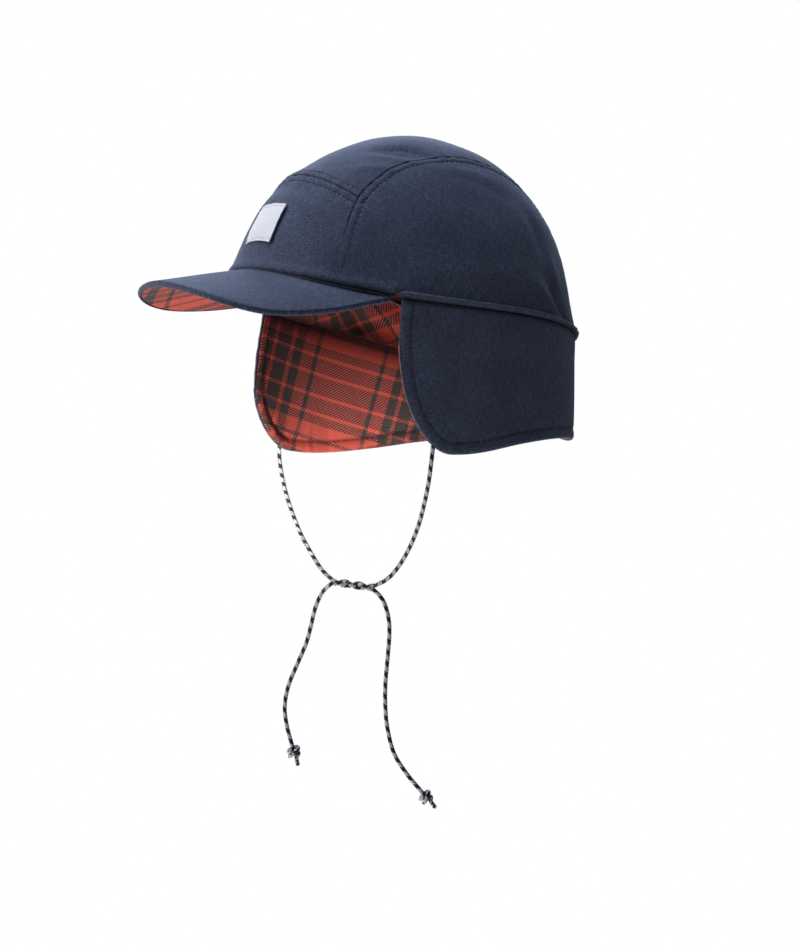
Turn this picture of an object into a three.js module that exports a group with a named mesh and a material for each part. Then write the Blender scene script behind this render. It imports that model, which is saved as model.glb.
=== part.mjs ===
// Earflap cap: a soft five-panel cap with a curved peak, one ear and neck flap and two tie cords.
// Millimetres, +Z up, front to -Y, wearer's left to +X. The origin is the middle of the head opening.
// The crown and peak are worked out square to the hem plane, then tipped back as the cap is worn.
// The flap and the cords hang straight down, so they are worked out in the worn frame.

import * as THREE from 'three';
import { mergeVertices } from 'three/addons/utils/BufferGeometryUtils.js';

const DEGREE = Math.PI / 180;

// Head opening
const WORN_PITCH = 12 * DEGREE;
const RIM_HALF_WIDTH = 80.7;
const RIM_HALF_LENGTH = 100.5;
const RIM_EGG = 0.08; // how much wider the back is than the front
const RIM_SQUARE = 0.024; // how far the front and back are flattened
const HEM_DIP = 6; // the hem dips beside the peak and lifts behind the ears
const HEM_FLARE = 3; // the front turns out over the peak
const FLARE_FADE = 6; // height over which the flare dies away

// Crown
const CROWN_HEIGHT = 96.2;
const CROWN_LEAN = -1.5; // the top sits this far ahead of the rim's middle
const CROWN_ROWS = [
  // rise is a share of the height, the others are shares of the rim's reach
  { rise: 0, front: 1, back: 1, side: 1 },
  { rise: 0.27, front: 0.94, back: 0.875, side: 0.951 },
  { rise: 0.53, front: 0.825, back: 0.767, side: 0.836 },
  { rise: 0.765, front: 0.585, back: 0.571, side: 0.642 },
  { rise: 0.93, front: 0.301, back: 0.324, side: 0.368 },
  { rise: 1, front: 0, back: 0, side: 0 },
];
const CROWN_BLEND = 3; // how sharply the front profile turns into the back one

// Seams of the crown, on a flat disc whose edge is the hem and whose middle is the top
const SEAM_ROWS = [
  { across: 0.653, along: -0.757 },
  { across: 0.543, along: -0.622 },
  { across: 0.42, along: -0.472 },
  { across: 0.345, along: -0.31 },
  { across: 0.315, along: -0.14 },
  { across: 0.3, along: 0 },
  { across: 0.295, along: 0.16 },
  { across: 0.31, along: 0.4 },
  { across: 0.36, along: 0.65 },
  { across: 0.42, along: 0.907 },
];
const FRONT_SEAM_AT = 2 / 9; // where the front panel's top seam meets the side seam
const REAR_CORNER_AT = 7 / 9;
const FRONT_SEAM_PEAK = -0.56; // the front panel's top seam on the middle line

// Cloth and gaps
const CLOTH = 1.4;
const FLANNEL = 1.2;
const GAP = 0.3;
const SEAM_GAP = 0.4;
const PANELS = {
  // the faces each panel is cut into, and its own size, which turns the seam gap into a share of it
  front: { columns: 14, rows: 7, width: 90, height: 50 },
  top: { columns: 10, rows: 21, width: 80, height: 220 },
  side: { columns: 15, rows: 9, width: 150, height: 80 },
};
const LINING_GAP = 0.6; // the lining hangs loose in the crown
const LINING_SLACK_FADE = 0.08; // share of the way to the top over which it settles against the panels
const LINING_COLUMNS = 34;
const LINING_RISE = 12;
const LINING_SAG_SHARE = 2 / 12; // of its rows, those that hang below the hem
const LINING_ROWS = [
  // the loose lower edge by its turn from the front: how far it sags below the hem and hangs in
  { turn: 0, sag: 0, inward: 0 },
  { turn: 45 * DEGREE, sag: 0, inward: 0 },
  { turn: 57 * DEGREE, sag: 0, inward: 2.4 },
  { turn: 66 * DEGREE, sag: 5.5, inward: 2.4 },
  { turn: 75 * DEGREE, sag: 7, inward: 2.4 },
  { turn: 95 * DEGREE, sag: 10, inward: 2.4 },
  { turn: 116 * DEGREE, sag: 15, inward: 2.4 },
  { turn: 150 * DEGREE, sag: 13, inward: 2.4 },
  { turn: 180 * DEGREE, sag: 11, inward: 2.4 },
];

// Rolled edge of the hem
const WELT_HEIGHT = 3.2;
const WELT_END_HEIGHT = 0.8;
const WELT_PROUD = 1.2;
const WELT_START = 62 * DEGREE;
const WELT_FADE = 3 * DEGREE; // the roll grows to its full height over this turn
const WELT_SIDES = 8;
const WELT_STEPS = 52;

// Peak
const PEAK_TURN = 62 * DEGREE; // from the middle of the front to the peak's end
const PEAK_REACH = 51;
const PEAK_DROP = 21;
const PEAK_ARCH = 7.5; // lifts the middle of the edge above its sides
const PEAK_ROUND = 0.027; // fills out the front of the edge
const PEAK_BROAD = 0.08; // fills out its sides
const PEAK_TWIST = 2.7; // the left side hangs lower than the right
const PEAK_END = 87 * DEGREE; // the ends stop short of a knife edge
const PEAK_THICKNESS = 1.9;
const PEAK_TUCK = 1.6; // how far it goes in under the crown's wall
const PEAK_COLUMNS = 30;
const PEAK_STEPS = 5;

// Ear and neck flap
const FLAP_ROWS = [
  // spread evenly from the flap's front edge to the middle of the back: drops below the hem on each
  // side, and how far the lower edge hangs in
  { left: 80, right: 80.5, lean: 2 },
  { left: 77.5, right: 81, lean: 2 },
  { left: 68, right: 75, lean: 1.5 },
  { left: 60, right: 64.5, lean: 1.5 },
  { left: 54.5, right: 54, lean: 2 },
  { left: 45.5, right: 45.5, lean: 2 },
];
const FLAP_FRONT = {
  // where each front edge starts along the hem behind the peak, how far it swings forward by its lower
  // corner, and that corner, a quarter ellipse this far along and starting this far down
  left: { start: 4.5, swing: 1.3, corner: 30, above: 24 },
  right: { start: 4, swing: 12.3, corner: 24, above: 50 },
};
const FLAP_SWING_FADE = 50; // along the hem
const SWING_POWER = 1.5; // how low down the front edge swings
const LEAN_POWER = 1.5; // how low down the lower edge hangs in
const HEM_AHEAD = 12 * DEGREE; // the hem is measured from this far ahead of the peak's end
const HEM_STEPS = 240;
const FLAP_COLUMNS = 24; // on each side
const FLAP_CROWDING = 1.4; // columns crowd towards the front edges, where the lower corners turn
const FLAP_RISE = 6;
const FLAP_INSET = 0.6; // the shell hangs this far inside the hem's outer face

// Label
const LABEL = { width: 25, height: 22.6, thickness: 1, centre: 0.21, faces: 6 };

// Tie cords
const CORD_DIAMETER = 2.3;
const CORD_SIDES = 8;
const CORD_STEP = 3; // in diameters
const TIE = { left: [11.4, -25.8, -151.2], right: [-11.4, -38.7, -148.7], radius: 1.5, steps: 4 };
const CORD_LEFT_RUN = [
  [71.6, -28.6, -73.9],
  [70.8, -29.1, -81.4],
  [66.9, -28, -91.5],
  [59.5, -25.6, -103],
  [49.5, -22.6, -115.5],
  [38, -20.8, -128.5],
  [27, -20.8, -139.5],
  [19, -22.8, -146.4],
];
const CORD_LEFT_TAIL = [
  [-16.2, -41.4, -154.6],
  [-20, -43.6, -163],
  [-22.4, -45, -173],
  [-25, -46.5, -183],
  [-30.1, -49.4, -195.5],
  [-34.8, -52.1, -207.5],
  [-36.8, -53.3, -219],
  [-35.6, -52.6, -230],
  [-32.6, -50.9, -241],
];
const CORD_RIGHT_RUN = [
  [-71.3, -35.4, -77.5],
  [-70.6, -35.6, -83.2],
  [-66.4, -36.5, -93],
  [-56, -39, -106],
  [-41.5, -40.8, -122],
  [-29.5, -40.8, -133.5],
  [-19.4, -40.2, -142.3],
];
const CORD_RIGHT_TAIL = [
  [15.9, -22.9, -158],
  [18.6, -21.3, -166.8],
  [19.2, -21, -176],
  [18.3, -21.5, -188.5],
  [17.1, -22.2, -203.5],
  [17.1, -22.2, -216.6],
  [18.2, -21.5, -228],
  [21.6, -19.6, -241],
  [28.4, -15.6, -252],
  [36.4, -11, -261.4],
];
const KNOT_ROWS = [
  // the knot's profile from the cord to the cut end
  { along: 0, radius: 1.4 },
  { along: 0.9, radius: 3 },
  { along: 3, radius: 4 },
  { along: 5.1, radius: 3.4 },
  { along: 6.4, radius: 1.4 },
  { along: 11.5, radius: 1.5 },
];
const KNOT_SIDES = 12;

const NAVY = 0x3a4358;
const PLAID_RED = 0xa8403a;
const LABEL_WHITE = 0xe3e5ef;
const CORD_GREY = 0x6f7178;

// Smooth value of one column of a table, with its rows spread evenly from 0 to 1
function alongRows(rows, column, share, endMirror = 0) {
  const last = rows.length - 1;
  const value = (i) => {
    if (i < 0) return 2 * rows[0][column] - rows[1][column];
    if (i > last) {
      const before = rows[last - 1][column];
      return endMirror === 0 ? 2 * rows[last][column] - before : endMirror * before;
    }
    return rows[i][column];
  };
  const spread = Math.min(Math.max(share, 0), 1) * last;
  const i = Math.min(Math.floor(spread), last - 1);
  const f = spread - i;
  const [a, b, c, d] = [value(i - 1), value(i), value(i + 1), value(i + 2)];
  return 0.5 * (2 * b + (c - a) * f + (2 * a - 5 * b + 4 * c - d) * f * f + (3 * b - a - 3 * c + d) * f ** 3);
}

// Straight-line value of one column of a table against another
function between(rows, key, column, at) {
  let i = 0;
  while (i < rows.length - 2 && at > rows[i + 1][key]) i += 1;
  const [a, b] = [rows[i], rows[i + 1]];
  const f = THREE.MathUtils.clamp((at - a[key]) / (b[key] - a[key]), 0, 1);
  return a[column] + (b[column] - a[column]) * f;
}

function rimX(turn) {
  return RIM_HALF_WIDTH * (Math.sin(turn) - (RIM_EGG / 2) * Math.sin(2 * turn));
}

function rimY(turn) {
  return (-RIM_HALF_LENGTH * (Math.cos(turn) - RIM_SQUARE * Math.cos(3 * turn))) / (1 - RIM_SQUARE);
}

function hemRise(turn) {
  return (HEM_DIP * (Math.cos(3 * turn) - Math.cos(turn))) / 2;
}

// 1 in the middle of the front, 0 from the sides back
function frontShare(turn) {
  return Math.max(Math.cos(turn), 0) ** 2;
}

// Outer face of the crown at a place on the disc
function crownPoint(across, along) {
  const turn = Math.atan2(across, -along);
  const share = 1 - Math.hypot(across, along);
  const rise = alongRows(CROWN_ROWS, 'rise', share, 1);
  const ahead = 0.5 * (1 + Math.tanh(CROWN_BLEND * Math.cos(turn)));
  const front = alongRows(CROWN_ROWS, 'front', share, -1);
  const back = alongRows(CROWN_ROWS, 'back', share, -1);
  const reach = back + (front - back) * ahead;
  const height = CROWN_HEIGHT * rise;
  const flare = HEM_FLARE * frontShare(turn) * Math.exp(-height / FLARE_FADE);
  return new THREE.Vector3(
    rimX(turn) * alongRows(CROWN_ROWS, 'side', share, -1),
    rimY(turn) * reach + CROWN_LEAN * rise - flare,
    height + hemRise(turn) * (1 - rise),
  );
}

function crownNormal(across, along) {
  const step = 0.004;
  const dx = crownPoint(across + step, along).sub(crownPoint(across - step, along));
  const dy = crownPoint(across, along + step).sub(crownPoint(across, along - step));
  return dx.cross(dy).normalize();
}

// A point of the crown, moved out along its normal and tipped back as worn
function crownOffset(place, out) {
  const point = crownPoint(place.x, place.y);
  return worn(point.addScaledVector(crownNormal(place.x, place.y), out));
}

function worn(point) {
  return point.applyAxisAngle(new THREE.Vector3(1, 0, 0), -WORN_PITCH);
}

function onDisc(turn, share) {
  return new THREE.Vector2(share * Math.sin(turn), -share * Math.cos(turn));
}

// The roll's share of its full height
function weltGrowth(turn) {
  const fromFront = Math.min(Math.abs(turn), 2 * Math.PI - Math.abs(turn));
  return THREE.MathUtils.clamp((fromFront - WELT_START) / WELT_FADE, 0, 1);
}

// How far up the cloth starts above the hem line: just clear of the flaring peak, or on top of the welt
const FLARE_LIFT = (CLOTH * HEM_FLARE) / FLARE_FADE;
function hemClearance(turn) {
  return GAP + FLARE_LIFT * frontShare(turn) + weltGrowth(turn) * (WELT_HEIGHT + GAP);
}

const RISE_PER_SHARE = CROWN_HEIGHT * CROWN_ROWS[1].rise * (CROWN_ROWS.length - 1);

function hemPlace(turn, clearance) {
  return onDisc(turn, 1 - clearance / RISE_PER_SHARE);
}

// Closed wall between two grids of points with the same rows and columns
function wall(outer, inner, wraps = false) {
  const positions = [];
  const columns = outer.length - 1;
  const rows = outer[0].length - 1;
  const face = (a, b, c) => positions.push(...a.toArray(), ...b.toArray(), ...c.toArray());
  const quad = (a, b, c, d) => {
    face(a, b, c);
    face(a, c, d);
  };
  for (let i = 0; i < columns; i += 1) {
    for (let j = 0; j < rows; j += 1) {
      quad(outer[i][j], outer[i + 1][j], outer[i + 1][j + 1], outer[i][j + 1]);
      quad(inner[i][j], inner[i][j + 1], inner[i + 1][j + 1], inner[i + 1][j]);
    }
    quad(outer[i][0], inner[i][0], inner[i + 1][0], outer[i + 1][0]);
    quad(outer[i][rows], outer[i + 1][rows], inner[i + 1][rows], inner[i][rows]);
  }
  for (let j = 0; j < rows && !wraps; j += 1) {
    quad(outer[0][j], outer[0][j + 1], inner[0][j + 1], inner[0][j]);
    quad(outer[columns][j], inner[columns][j], inner[columns][j + 1], outer[columns][j + 1]);
  }
  return weld(positions);
}

// Joins shared corners and drops triangles that have shrunk to nothing
function weld(positions) {
  const loose = new THREE.BufferGeometry();
  loose.setAttribute('position', new THREE.Float32BufferAttribute(positions, 3));
  const geometry = mergeVertices(loose, 1e-4);
  const index = geometry.index.array;
  const kept = [];
  for (let i = 0; i < index.length; i += 3) {
    const [a, b, c] = [index[i], index[i + 1], index[i + 2]];
    if (a !== b && b !== c && c !== a) kept.push(a, b, c);
  }
  geometry.setIndex(kept);
  return geometry;
}

function grid(columns, rows, point) {
  const result = [];
  for (let i = 0; i <= columns; i += 1) {
    const column = [];
    for (let j = 0; j <= rows; j += 1) column.push(point(i / columns, j / rows));
    result.push(column);
  }
  return result;
}

function seamPlace(share) {
  const across = alongRows(SEAM_ROWS, 'across', share);
  const along = alongRows(SEAM_ROWS, 'along', share);
  return new THREE.Vector2(across, along);
}

const SEAM_FRONT_TURN = Math.atan2(SEAM_ROWS[0].across, -SEAM_ROWS[0].along);
const SEAM_BACK = SEAM_ROWS[SEAM_ROWS.length - 1];
const SEAM_BACK_TURN = Math.atan2(SEAM_BACK.across, -SEAM_BACK.along);

// The stretch of side seam from the hem up, started clear of the hem
function seamStretch(from, to, share) {
  const place = seamPlace(from + (to - from) * share);
  const limit = 1 - hemClearance(Math.atan2(place.x, -place.y)) / RISE_PER_SHARE;
  return place.length() > limit ? place.setLength(limit) : place;
}

function frontSeam(share) {
  const corner = seamPlace(FRONT_SEAM_AT);
  const across = corner.x * (2 * share - 1);
  const bow = 1 - (2 * share - 1) ** 2;
  return new THREE.Vector2(across, corner.y + (FRONT_SEAM_PEAK - corner.y) * bow);
}

function hemStretch(from, to, share) {
  const turn = from + (to - from) * share;
  return hemPlace(turn, hemClearance(turn));
}

// Fills four edges on the disc, and keeps the seam gap along them
function patch({ bottom, top, start, end }, insetU, insetV) {
  const corner = (u, v) => (v === 0 ? bottom(u) : top(u));
  return (i, j) => {
    const u = insetU + (1 - 2 * insetU) * i;
    const v = j * (1 - insetV.top) + (1 - j) * insetV.bottom;
    const place = bottom(u).multiplyScalar(1 - v).addScaledVector(top(u), v);
    place.addScaledVector(start(v), 1 - u).addScaledVector(end(v), u);
    for (const [a, wa] of [[0, 1 - u], [1, u]]) {
      for (const [b, wb] of [[0, 1 - v], [1, v]]) place.addScaledVector(corner(a, b), -wa * wb);
    }
    return place;
  };
}

function panel(edges, { columns, rows, width, height }) {
  const place = patch(edges, SEAM_GAP / 2 / width, { bottom: 0, top: SEAM_GAP / 2 / height });
  const outer = grid(columns, rows, (i, j) => crownOffset(place(i, j), 0));
  const inner = grid(columns, rows, (i, j) => crownOffset(place(i, j), -CLOTH));
  return wall(outer, inner);
}

function mirrored(place) {
  return new THREE.Vector2(-place.x, place.y);
}

function frontPanel() {
  const side = (v) => seamStretch(0, FRONT_SEAM_AT, v);
  return panel({
    bottom: (u) => hemStretch(-SEAM_FRONT_TURN, SEAM_FRONT_TURN, u),
    top: frontSeam,
    start: (v) => mirrored(side(v)),
    end: side,
  }, PANELS.front);
}

function topPanel() {
  const side = (v) => seamStretch(1, FRONT_SEAM_AT, v);
  return panel({
    bottom: (u) => hemStretch(SEAM_BACK_TURN, 2 * Math.PI - SEAM_BACK_TURN, u),
    top: (u) => frontSeam(1 - u),
    start: side,
    end: (v) => mirrored(side(v)),
  }, PANELS.top);
}

// The side panel's columns meet the hem at both ends of the stretch where the roll grows
const SIDE_HEM_ROWS = [
  { share: 0, turn: SEAM_FRONT_TURN },
  { share: 3 / PANELS.side.columns, turn: WELT_START },
  { share: 4 / PANELS.side.columns, turn: WELT_START + WELT_FADE },
  { share: 1, turn: SEAM_BACK_TURN },
];

function sidePanel(side) {
  const flip = side > 0 ? (place) => place : mirrored;
  const from = side > 0 ? 0 : 1;
  const share = (u) => Math.abs(from - u);
  return panel({
    bottom: (u) => {
      const turn = between(SIDE_HEM_ROWS, 'share', 'turn', share(u));
      return flip(hemPlace(turn, hemClearance(turn)));
    },
    top: (u) => flip(seamPlace(FRONT_SEAM_AT + (REAR_CORNER_AT - FRONT_SEAM_AT) * share(u))),
    start: (v) => flip(side > 0 ? seamStretch(0, FRONT_SEAM_AT, v) : seamStretch(1, REAR_CORNER_AT, v)),
    end: (v) => flip(side > 0 ? seamStretch(1, REAR_CORNER_AT, v) : seamStretch(0, FRONT_SEAM_AT, v)),
  }, PANELS.side);
}

const LINING_LIFT = 2 * FLARE_LIFT;

// The lining lies along the panels, comes away from them low down and hangs past the hem in a loose fold
function liningPoint(turn, up, depth) {
  const fromFront = Math.abs(Math.PI - Math.abs(Math.PI - turn));
  const inward = between(LINING_ROWS, 'turn', 'inward', fromFront);
  const sag = between(LINING_ROWS, 'turn', 'sag', fromFront);
  const start = hemPlace(turn, GAP + LINING_LIFT * frontShare(turn)).length();
  const place = onDisc(turn, start * (1 - Math.max(up, 0)));
  const loose = inward * Math.exp(-Math.max(up, 0) / LINING_SLACK_FADE);
  const point = crownOffset(place, -CLOTH - LINING_GAP - loose - depth);
  point.z += sag * Math.min(up, 0);
  return point;
}

function crownLining() {
  const rise = (j) => {
    const above = j - LINING_SAG_SHARE;
    return above / (above < 0 ? LINING_SAG_SHARE : 1 - LINING_SAG_SHARE);
  };
  const outer = grid(LINING_COLUMNS, LINING_RISE, (i, j) => liningPoint(2 * Math.PI * i, rise(j), 0));
  const inner = grid(LINING_COLUMNS, LINING_RISE, (i, j) => liningPoint(2 * Math.PI * i, rise(j), FLANNEL));
  return wall(outer, inner, true);
}

// Level direction that points out of the rim
function rimOut(turn) {
  const step = 0.002;
  const dx = rimX(turn + step) - rimX(turn - step);
  const dy = rimY(turn + step) - rimY(turn - step);
  return new THREE.Vector3(dy, -dx, 0).normalize();
}

// The welt's first and last steps are where the roll grows
const WELT_ROWS = [
  { share: 0, turn: WELT_START },
  { share: 1 / WELT_STEPS, turn: WELT_START + WELT_FADE },
  { share: 1 - 1 / WELT_STEPS, turn: 2 * Math.PI - WELT_START - WELT_FADE },
  { share: 1, turn: 2 * Math.PI - WELT_START },
];

function crownWelt() {
  const halfThick = (CLOTH + WELT_PROUD) / 2;
  return wall(...bands(WELT_STEPS, WELT_SIDES, (share, angle) => {
    const turn = between(WELT_ROWS, 'share', 'turn', share);
    const height = WELT_END_HEIGHT + (WELT_HEIGHT - WELT_END_HEIGHT) * weltGrowth(turn);
    const point = crownPoint(Math.sin(turn), -Math.cos(turn));
    point.addScaledVector(rimOut(turn), WELT_PROUD - halfThick + halfThick * Math.cos(angle));
    point.z += (height / 2) * (1 + Math.sin(angle)) - WELT_END_HEIGHT * (1 - weltGrowth(turn));
    return worn(point);
  }));
}

// Two matching grids that close a tube: its outer and inner half turns meet along both edges
function bands(steps, sides, point) {
  const half = sides / 2;
  const outer = grid(steps, half, (i, j) => point(i, -Math.PI / 2 + Math.PI * j));
  const inner = grid(steps, half, (i, j) => point(i, -Math.PI / 2 - Math.PI * j));
  return [outer, inner];
}

// Peak, from the seam (0) to its edge (1)
function peakPoint(sweep, out) {
  const seamTurn = (sweep / (Math.PI / 2)) * PEAK_TURN;
  const seam = crownPoint(Math.sin(seamTurn), -Math.cos(seamTurn));
  seam.addScaledVector(rimOut(seamTurn), -PEAK_TUCK);
  const endY = rimY(PEAK_TURN);
  const wide = (Math.sin(sweep) + PEAK_BROAD * Math.sin(3 * sweep)) / (1 - PEAK_BROAD);
  const long = (Math.cos(sweep) - PEAK_ROUND * Math.cos(3 * sweep)) / (1 - PEAK_ROUND);
  const arch = PEAK_TWIST * Math.sin(2 * sweep) - PEAK_ARCH * Math.cos(3 * sweep);
  const fall = PEAK_DROP * Math.cos(sweep) + arch;
  const edge = new THREE.Vector3(
    rimX(PEAK_TURN) * wide,
    endY - (RIM_HALF_LENGTH + PEAK_REACH + endY) * long,
    hemRise(PEAK_TURN) - fall,
  );
  return seam.lerp(edge, out);
}

function peakNormal(sweep, out) {
  const step = 0.01;
  const across = peakPoint(sweep + step, out).sub(peakPoint(sweep - step, out));
  const forward = peakPoint(sweep, out + step).sub(peakPoint(sweep, out - step));
  return forward.cross(across).normalize();
}

function peakLayer(top, thickness) {
  const at = (i, j, depth) => {
    const sweep = PEAK_END * (2 * i - 1);
    return worn(peakPoint(sweep, 1 - j).addScaledVector(peakNormal(sweep, 0.5), -depth));
  };
  const outer = grid(PEAK_COLUMNS, PEAK_STEPS, (i, j) => at(i, j, top));
  const inner = grid(PEAK_COLUMNS, PEAK_STEPS, (i, j) => at(i, j, top + thickness));
  return wall(outer, inner);
}

// Turn of the rim at each length along the hem, measured back from the peak's end
const HEM_LENGTHS = (() => {
  const first = PEAK_TURN - HEM_AHEAD;
  const table = [{ along: 0, turn: first }];
  for (let i = 1; i <= HEM_STEPS; i += 1) {
    const turn = first + ((Math.PI - first) * i) / HEM_STEPS;
    const before = table[i - 1];
    const length = Math.hypot(rimX(turn) - rimX(before.turn), rimY(turn) - rimY(before.turn));
    table.push({ along: before.along + length, turn });
  }
  const ahead = between(table, 'turn', 'along', PEAK_TURN);
  return table.map(({ along, turn }) => ({ along: along - ahead, turn }));
})();
const HEM_LENGTH = HEM_LENGTHS[HEM_STEPS].along;

function flapDrop(along, which) {
  const { start, corner, above } = FLAP_FRONT[which];
  const full = alongRows(FLAP_ROWS, which, along / (HEM_LENGTH - start));
  if (along >= corner) return full;
  const reach = 1 - along / corner;
  return above + (full - above) * Math.sqrt(1 - reach * reach);
}

// A point of the flap: by its share of the hem from the front edge, and down by a share of its drop
function flapPoint(share, side, down, inward) {
  const which = side > 0 ? 'left' : 'right';
  const { start, swing, above } = FLAP_FRONT[which];
  const along = (HEM_LENGTH - start) * share;
  const drop = flapDrop(along, which) * down;
  const depth = drop / FLAP_ROWS[0][which];
  const swung = Math.sin((Math.PI / 2) * Math.min(drop / above, 1)) ** SWING_POWER;
  const forward = swing * swung * Math.exp(-along / FLAP_SWING_FADE);
  const turn = between(HEM_LENGTHS, 'along', 'turn', along + start - forward * (1 - share));
  const lean = alongRows(FLAP_ROWS, 'lean', share) * depth ** LEAN_POWER;
  const hem = worn(crownPoint(Math.sin(turn), -Math.cos(turn)));
  hem.addScaledVector(rimOut(turn), -FLAP_INSET - inward - lean);
  hem.z -= 2 * GAP + drop;
  return new THREE.Vector3(side * hem.x, hem.y, hem.z);
}

function flapLayer(inward, thickness) {
  const at = (i, j, depth) => {
    const signed = 2 * i - 1;
    const share = (1 - Math.abs(signed)) ** FLAP_CROWDING;
    return flapPoint(share, signed < 0 ? -1 : 1, 1 - j, depth);
  };
  const columns = 2 * FLAP_COLUMNS;
  const outer = grid(columns, FLAP_RISE, (i, j) => at(1 - i, j, inward));
  const inner = grid(columns, FLAP_RISE, (i, j) => at(1 - i, j, inward + thickness));
  return wall(outer, inner);
}

function labelWall() {
  const middle = 1 - LABEL.centre;
  const step = 0.01;
  const perAlong = crownPoint(0, -middle - step).distanceTo(crownPoint(0, -middle + step)) / (2 * step);
  const place = (i, j) => {
    const along = -middle + ((j - 0.5) * LABEL.height) / perAlong;
    const perAcross = crownPoint(step, along).distanceTo(crownPoint(-step, along)) / (2 * step);
    return new THREE.Vector2(((i - 0.5) * LABEL.width) / perAcross, along);
  };
  const outer = grid(LABEL.faces, LABEL.faces, (i, j) => crownOffset(place(i, j), GAP + LABEL.thickness));
  const inner = grid(LABEL.faces, LABEL.faces, (i, j) => crownOffset(place(i, j), GAP));
  return wall(outer, inner);
}

// Half a turn of each cord round the other, from where it comes in to where it leaves
function tieTurn(from, to, side) {
  const start = new THREE.Vector3(...from);
  const end = new THREE.Vector3(...to);
  const axis = end.clone().sub(start).normalize();
  const up = new THREE.Vector3(0, 0, 1).addScaledVector(axis, -axis.z).normalize();
  const points = [];
  for (let i = 0; i <= TIE.steps; i += 1) {
    const angle = (Math.PI * i) / TIE.steps;
    const spoke = up.clone().applyAxisAngle(axis, side * angle).multiplyScalar(TIE.radius);
    points.push(start.clone().lerp(end, i / TIE.steps).add(spoke));
  }
  return points;
}

function cordRoute(run, from, to, tail, side) {
  const hand = (row) => new THREE.Vector3(...row);
  return new THREE.CatmullRomCurve3([...run.map(hand), ...tieTurn(from, to, side), ...tail.map(hand)]);
}

function cordTube(route) {
  const section = new THREE.Shape();
  for (let i = 0; i < CORD_SIDES; i += 1) {
    const angle = (2 * Math.PI * i) / CORD_SIDES;
    const [x, y] = [(CORD_DIAMETER / 2) * Math.cos(angle), (CORD_DIAMETER / 2) * Math.sin(angle)];
    if (i === 0) section.moveTo(x, y);
    else section.lineTo(x, y);
  }
  section.closePath();
  const steps = Math.round(route.getLength() / (CORD_STEP * CORD_DIAMETER));
  const tube = new THREE.ExtrudeGeometry(section, { steps, extrudePath: route });
  tube.deleteAttribute('normal');
  tube.deleteAttribute('uv');
  return mergeVertices(tube, 1e-4);
}

// The knot sits on the end of its cord and points the same way
function endKnot(route) {
  const profile = [new THREE.Vector2(0, 0)];
  for (const row of KNOT_ROWS) profile.push(new THREE.Vector2(row.radius, row.along));
  profile.push(new THREE.Vector2(0, KNOT_ROWS[KNOT_ROWS.length - 1].along));
  const knot = new THREE.LatheGeometry(profile, KNOT_SIDES);
  knot.deleteAttribute('normal');
  knot.deleteAttribute('uv');
  const way = route.getTangent(1);
  const turn = new THREE.Quaternion().setFromUnitVectors(new THREE.Vector3(0, 1, 0), way);
  knot.applyQuaternion(turn);
  const seat = route.getPoint(1).addScaledVector(way, GAP);
  knot.translate(seat.x, seat.y, seat.z);
  return weld(Array.from(knot.toNonIndexed().attributes.position.array));
}

const cloth = { color: NAVY, roughness: 0.9, metalness: 0 };
const flannel = { color: PLAID_RED, roughness: 0.95, metalness: 0 };
const woven = { color: LABEL_WHITE, roughness: 0.8, metalness: 0 };
const braid = { color: CORD_GREY, roughness: 0.7, metalness: 0 };

const leftRoute = cordRoute(CORD_LEFT_RUN, TIE.left, TIE.right, CORD_LEFT_TAIL, 1);
const rightRoute = cordRoute(CORD_RIGHT_RUN, TIE.right, TIE.left, CORD_RIGHT_TAIL, 1);

const cap = new THREE.Group();
cap.name = 'earflap_cap';

function add(name, geometry, look) {
  const mesh = new THREE.Mesh(geometry, new THREE.MeshStandardMaterial(look));
  mesh.name = name;
  cap.add(mesh);
}

add('front_panel', frontPanel(), cloth);
add('top_panel', topPanel(), cloth);
add('side_panel_left', sidePanel(1), cloth);
add('side_panel_right', sidePanel(-1), cloth);
add('crown_lining', crownLining(), flannel);
add('crown_welt', crownWelt(), cloth);
add('earflap_shell', flapLayer(0, CLOTH), cloth);
add('earflap_lining', flapLayer(CLOTH + GAP, FLANNEL), flannel);
add('peak', peakLayer(GAP, PEAK_THICKNESS), cloth);
add('peak_underside', peakLayer(PEAK_THICKNESS + 2 * GAP, FLANNEL), flannel);
add('label', labelWall(), woven);
add('cord_left', cordTube(leftRoute), braid);
add('cord_right', cordTube(rightRoute), braid);
add('cord_knot_left', endKnot(leftRoute), braid);
add('cord_knot_right', endKnot(rightRoute), braid);

export default cap;
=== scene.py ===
"""Earflap cap: its looks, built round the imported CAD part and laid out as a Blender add-on.

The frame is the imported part: metres, +Z up, the peak to -Y and the wearer's left to +X.
The shape functions work in millimetres and repeat the part's own sizes. Each piece is then made finer than
its CAD solid, with rolled edges, sewn channels, puckers and soft folds.
"""

import math
from collections import namedtuple
from functools import partial

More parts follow.
